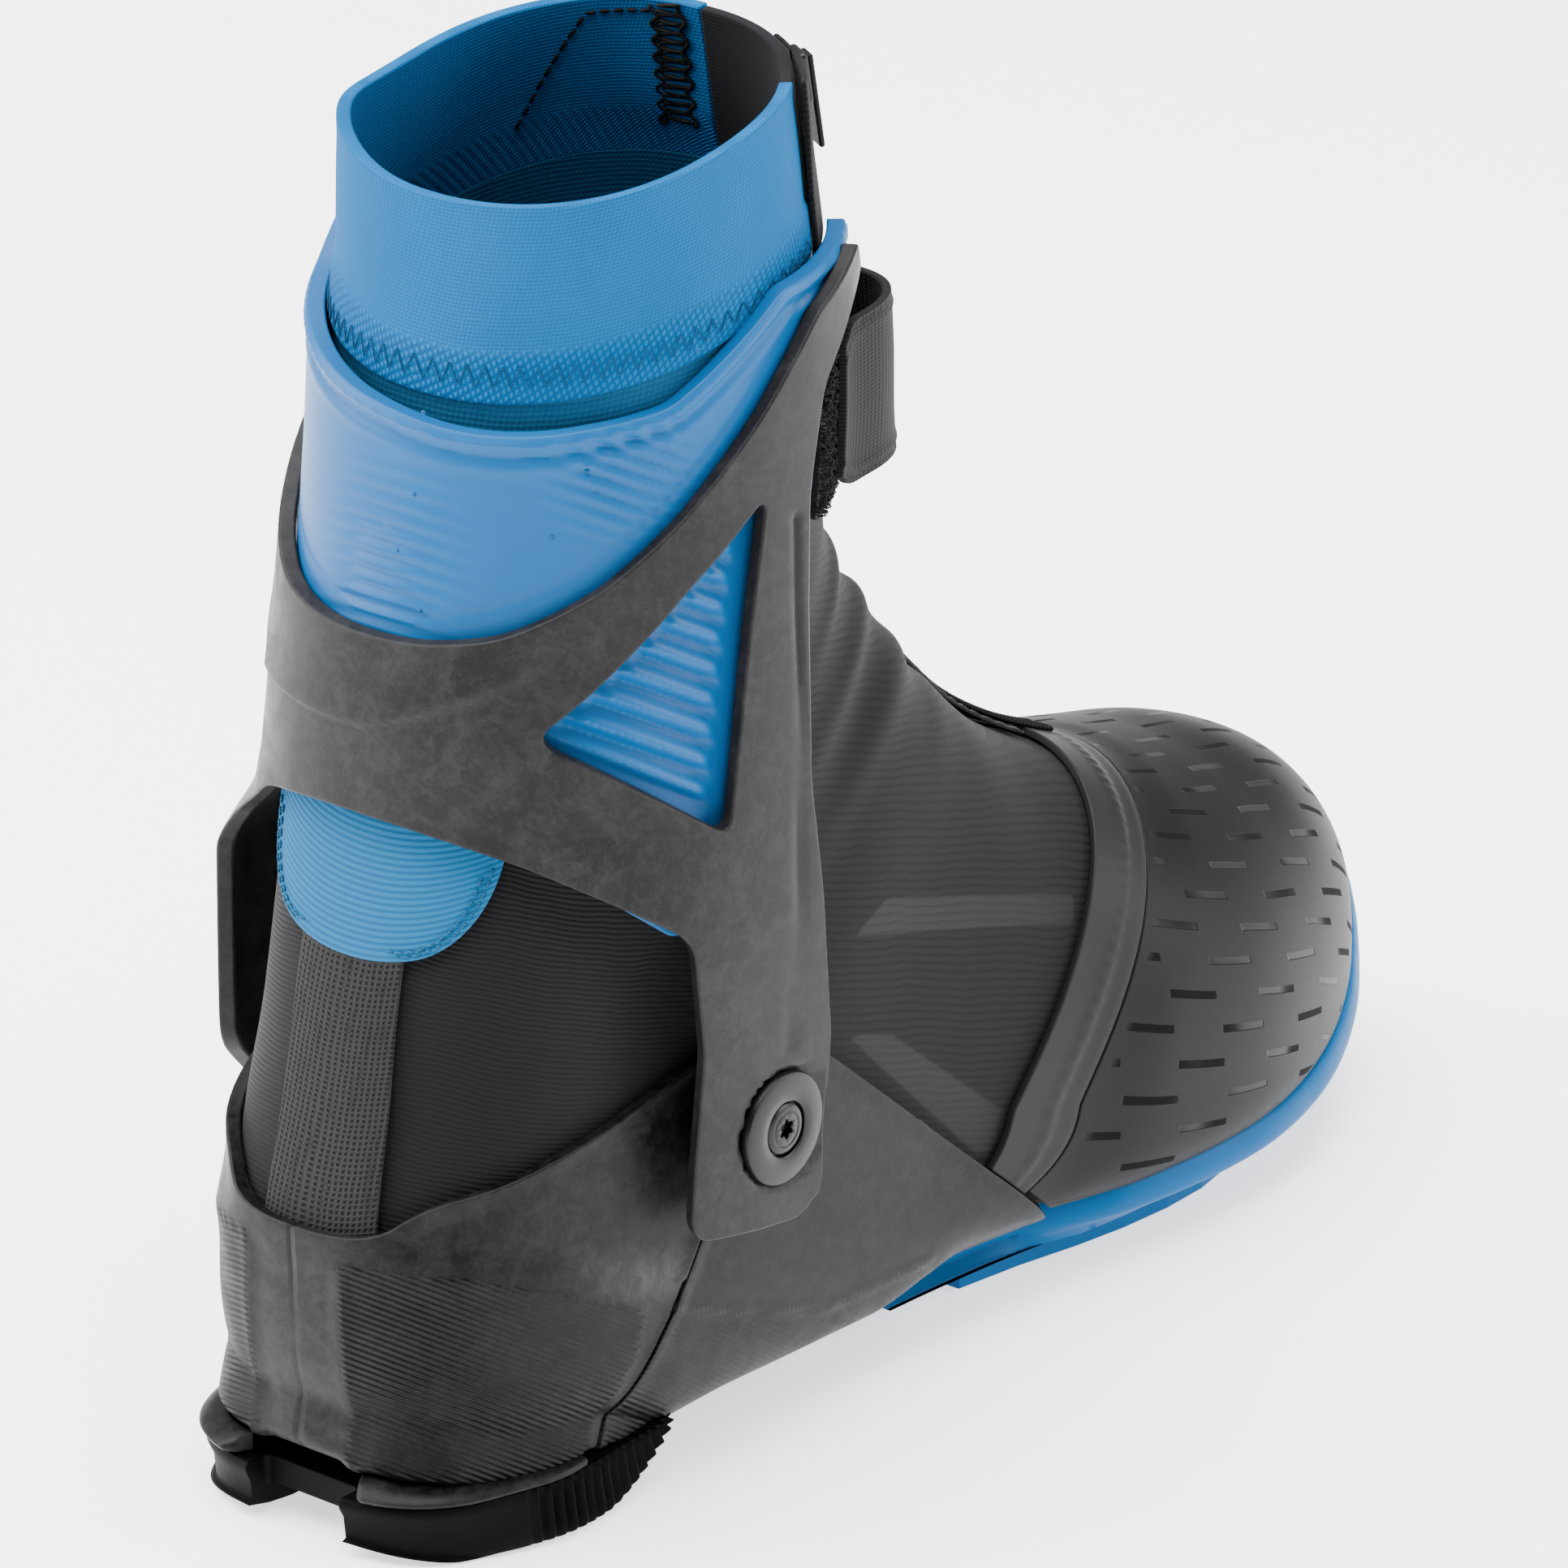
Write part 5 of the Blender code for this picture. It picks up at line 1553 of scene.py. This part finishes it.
HEEL_PLAN = rounded([(-34, 82, 6), (-35.5, 112, 30), (-26, 138, 22), (0, 143, 30), (26, 138, 22),
                     (35.5, 112, 30), (34, 82, 6)], 14)
HEEL_CENTRE = np.array([0.0, 112.0])
TREAD_TOP = 10.4
TREAD_RIB_PITCH = 2.3


def heel_bottom(y):
    front = 9.3 * np.clip((103 - y) / 18, 0, 1) ** 1.6
    rear = 2.2 * np.clip((y - 131) / 10, 0, 1) ** 1.4
    return front + rear


def make_heel_tread():
    loop = np.vstack([HEEL_PLAN, HEEL_PLAN[:1]])
    steps = 760
    s = np.linspace(0, length_along(loop)[-1], steps, endpoint=False)
    plan = plan_points(loop, s)
    out = unit(plan - HEEL_CENTRE)
    y = plan[:, 1]
    ribbed = smooth((121 - y) / 6)
    flutes = 0.75 * ribbed * np.sin(s * 2 * np.pi / TREAD_RIB_PITCH)
    rings = []
    for share, inset in ((1.0, 0.2), (0.93, 0.6), (0.80, 0.7), (0.55, 1.0), (0.3, 1.4), (0.14, 1.6),
                         (0.04, 1.2), (0.0, 0.2)):
        low = heel_bottom(y) + 0.45 * ribbed * np.sin(s * 2 * np.pi / TREAD_RIB_PITCH)
        low = np.maximum(low, 0.0)
        z = low + (TREAD_TOP - low) * share
        grow = np.where(inset > 0.9,
                        inset * smooth((134 - y) / 14) - 0.9 * (1 - share) * smooth((y - 124) / 10),
                        inset) + flutes * smooth((1.0 - share) / 0.1) * smooth(share / 0.05)
        rings.append(np.concatenate([plan + out * grow[:, None], z[:, None]], 1))
    for share in (0.85, 0.65, 0.4, 0.15):
        flat = HEEL_CENTRE + (plan - out * 0.2 - HEEL_CENTRE) * share
        ribs = np.sin(flat[:, 1] * 2 * np.pi / TREAD_RIB_PITCH)
        low = heel_bottom(flat[:, 1]) + 0.2 * smooth((110 - flat[:, 1]) / 8) * ribs
        rings.append(np.stack([flat[:, 0], flat[:, 1], np.maximum(low, 0.0)], -1))
    count = len(rings)
    points = np.concatenate(rings + [[[*HEEL_CENTRE, 0.0]], [[*HEEL_CENTRE, TREAD_TOP]]])
    faces = grid_faces(count, steps, True)
    last = (count - 1) * steps
    faces += [(last + (j + 1) % steps, last + j, count * steps) for j in range(steps)]
    faces += [(j, (j + 1) % steps, count * steps + 1) for j in range(steps)]
    item = new_object("heel_tread", turned_outwards(mesh_from("heel_tread", points, faces)), SOLE_BLACK)
    for name, low, high in (("heel_notch", (-10.5, 111, -4), (10.5, 160, 5.5)),
                            ("heel_rear_notch", (-10.5, 136.5, -4), (10.5, 160, 14))):
        size = np.subtract(high, low)
        cutter = rounded_block(name, None, size, np.add(low, high) / 2, 1.2)
        modifier = item.modifiers.new(name, "BOOLEAN")
        modifier.operation = "DIFFERENCE"
        modifier.solver = "EXACT"
        modifier.object = cutter
        bpy.context.view_layer.update()
        solid = bpy.data.meshes.new_from_object(item.evaluated_get(bpy.context.evaluated_depsgraph_get()))
        item.modifiers.clear()
        item.data = solid
        bpy.data.objects.remove(cutter)
    shade(item, 38)
    finish_piece(item, LOWER, ["heel_tread"])


def make_heel_ledges():
    """Lip that flares out over each heel lug."""
    for label, side in (("lateral", -1), ("medial", 1)):
        loop = HEEL_PLAN[HEEL_PLAN[:, 0] * side > 8.0]
        loop = loop[(loop[:, 1] > 96)]
        loop = loop[np.argsort(-loop[:, 1])]
        length = length_along(loop)[-1]
        s = np.linspace(0, length, 90)
        plan = plan_points(loop, s)
        out = unit(plan - HEEL_CENTRE)
        share = s / length
        width = 2.3 * (1 - share) ** 0.6 * smooth((share + 0.03) / 0.06)
        height = 12.3 - 1.1 * share
        rings = []
        for grow, rise in ((-3.0, 1.9), (-0.6, 1.6), (0.2, 1.0), (0.8, 0.3), (1.0, -0.3), (0.85, -0.9),
                           (0.2, -1.2), (-3.0, -1.4)):
            offset = np.where(grow > 0, grow * width, grow)
            z = height + rise * (0.5 + 0.5 * (1 - share))
            rings.append(np.concatenate([plan + out * offset[:, None], z[:, None]], 1))
        points = np.concatenate(rings)
        faces = grid_faces(len(rings), len(s))
        last = (len(rings) - 1) * len(s)
        faces += [(last + j, j, j + 1, last + j + 1) for j in range(len(s) - 1)]
        faces.append(tuple(i * len(s) for i in range(len(rings))))
        faces.append(tuple(i * len(s) + len(s) - 1 for i in reversed(range(len(rings)))))
        mesh = turned_outwards(mesh_from("heel_ledge_" + label, points, faces))
        item = shade(new_object("heel_ledge_" + label, mesh, COUNTER_LOOK), 50)
        finish_piece(item, LOWER)


# ---------------------------------------------------------------- strap

STRAP_LOW, STRAP_HIGH = 168, 198          # z of the strap's edges


def strap_height(u):
    base = 3.6
    landed = base + 2.0 * np.clip(u / 0.12, 0, 1) + 9 * np.sin(np.pi * np.clip(u, 0, 1) / 0.165) ** 2
    return np.where(u < 0, base, landed)


def make_strap():
    def surface(t, u, offset):
        return shaft(t, u, offset + strap_height(u))

    def keep(points, t, u):
        z = points[..., 2]
        corner = smooth((np.asarray(u) - 0.135) / 0.03)
        return np.minimum(z - STRAP_LOW - 3 * corner ** 3, STRAP_HIGH - z - 3 * corner ** 3)

    def relief(t, u, points, depth):
        return 0.25 * bell(depth - 2.4, 0.6) - 0.2 * bell(depth - 1.2, 0.4)

    def marks(t, u, points):
        return {"flow": np.stack([u * 235, points[..., 2], 0 * t], -1)}

    t, u = spread((13.4, 20, 90), (-0.19, 0.165, 190))
    strap = clipped_shell("power_strap", STRAP_LOOK, t, u, surface, keep, 1.6, relief, 0.35, marks)
    finish_piece(strap, STRAP, ["power_strap"])


def make_loop_pad():
    t, u = spread((14.2, 18.6, 60), (0.130, 0.190, 60))

    def surface(t, u, offset):
        return shaft(t, u, offset + 3.2)

    def keep(points, t, u):
        return np.minimum(points[..., 2] - (STRAP_LOW - 2), STRAP_HIGH - points[..., 2])

    pad = clipped_shell("strap_loop_pad", PILE_LOOK, t, u, surface, keep, 1.2, None, 0.3)
    finish_piece(pad, CUFF, ["strap_hook_pad"], 0.8)
    rng = np.random.default_rng(7)
    points, faces = [], []
    for _ in range(1900):
        t0, u0 = rng.uniform(14.6, 18.2), rng.uniform(0.131, 0.193)
        base = shaft(t0, u0, 3.1)
        if not STRAP_LOW - 1.5 < base[2] < STRAP_HIGH - 0.5:
            continue
        tall = rng.uniform(0.5, 0.9) if u0 < 0.168 else rng.uniform(0.7, 1.7)
        out = shaft(t0, u0, 4.1) - base
        angle = rng.uniform(0, 2 * np.pi)
        across = shaft(t0, u0 + 0.004, 3.1) - base
        across /= np.linalg.norm(across)
        other = np.cross(out, across)
        lean = across * math.cos(angle) + other * math.sin(angle)
        width = rng.uniform(0.35, 0.7)
        start = len(points)
        arc = np.linspace(0, np.pi, 6)
        for v in arc:
            centre = base + lean * width * math.cos(v) + out * tall * math.sin(v)
            tangent = -lean * width * math.sin(v) + out * tall * math.cos(v)
            tangent /= np.linalg.norm(tangent)
            side = np.cross(tangent, np.cross(lean, out))
            side /= np.linalg.norm(side)
            up = np.cross(lean, out)
            up /= np.linalg.norm(up)
            for k in range(4):
                w = 2 * math.pi * k / 4
                points.append(centre + 0.11 * (side * math.cos(w) + up * math.sin(w)))
        faces += grid_faces(6, 4, True, start)
    item = shade(new_object("strap_loops", mesh_from("strap_loops", points, faces), PILE_LOOK), 80)
    finish_piece(item, CUFF)


# ---------------------------------------------------------------- insides

def make_insides():
    def keep(points, t, f):
        return np.minimum(27 - points[..., 2], 132 - points[..., 1])

    for name, look, outer, thickness in (("footbed", FOOTBED_LOOK, -4.8, 3.0),
                                         ("lasting_board", TAPE_LOOK, -2.8, 1.6)):
        def surface(t, f, offset, outer=outer):
            return foot(t, f, offset + outer)

        t, f = spread((1.5, 12, 130), (0.36, 0.64, 70))
        item = clipped_shell(name, look, t, f, surface, keep, thickness, None, 0.4)
        finish_piece(item, LOWER, [name], 0.8 if name == "footbed" else None)


def dress_cad_nodes():
    looks = {"forefoot_tread_lateral": SOLE_BLUE, "forefoot_tread_medial": SOLE_BLUE, "toe_bar": STEEL_LOOK,
             "strap_rivet_upper": STEEL_LOOK, "strap_rivet_lower": STEEL_LOOK, "zip_slider": PIVOT_LOOK,
             "zip_pull": TAPE_LOOK}
    for name, look in looks.items():
        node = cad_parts[name]
        for index in range(max(1, len(node.material_slots))):
            if node.material_slots:
                node.material_slots[index].material = look
            else:
                node.data.materials.append(look)


# ---------------------------------------------------------------- studio

def make_studio():
    bpy.ops.mesh.primitive_plane_add(size=12)
    floor = bpy.context.object
    floor.name = "studio_floor"
    floor.location = (0, 0, -0.0004)
    floor.data.materials.append(studio_floor())
    target = Vector((-0.00004, 0.00924, 0.09539))
    back = Vector((-0.5801, 0.7198, 0.3812)).normalized()
    camera_data = bpy.data.cameras.new("camera")
    camera_data.lens = 198.1
    camera_data.sensor_width = 36.0
    camera_data.clip_start = 0.05
    camera = bpy.data.objects.new("camera", camera_data)
    camera.location = target + back * 1.521
    camera.rotation_euler = (-back).to_track_quat("-Z", "Y").to_euler()
    bpy.context.scene.collection.objects.link(camera)
    bpy.context.scene.camera = camera
    right, up = Vector((-0.7786, -0.6275, 0)), Vector((0.2392, -0.2968, 0.9245))
    for name, direction, distance, size, power in (
            ("key", -1.0 * right + 0.50 * up + 0.10 * back, 1.5, 0.9, 36),
            ("fill", 1.0 * right + 0.35 * up + 0.20 * back, 1.6, 0.8, 26),
            ("top", Vector((0.1, 0.1, 1)), 2.3, 2.6, 250)):
        light = bpy.data.lights.new(name, "AREA")
        light.size = size
        light.energy = power
        lamp = bpy.data.objects.new(name, light)
        lamp.location = target + direction.normalized() * distance
        lamp.rotation_euler = direction.to_track_quat("Z", "Y").to_euler()
        bpy.context.scene.collection.objects.link(lamp)
    world = bpy.data.worlds.new("studio")
    world.use_nodes = True
    background = world.node_tree.nodes["Background"]
    background.inputs[0].default_value = (0.93, 0.94, 0.95, 1)
    background.inputs[1].default_value = 0.6
    bpy.context.scene.world = world


make_upper()
make_collar()
make_frame()
make_liner()
make_pivots()
make_composites()
make_trim()
make_cap()
make_band()
make_instep_tape()
make_blue_sole()
make_toe_lug()
make_heel_tread()
make_heel_ledges()
make_strap()
make_loop_pad()
make_insides()
dress_cad_nodes()
make_studio()
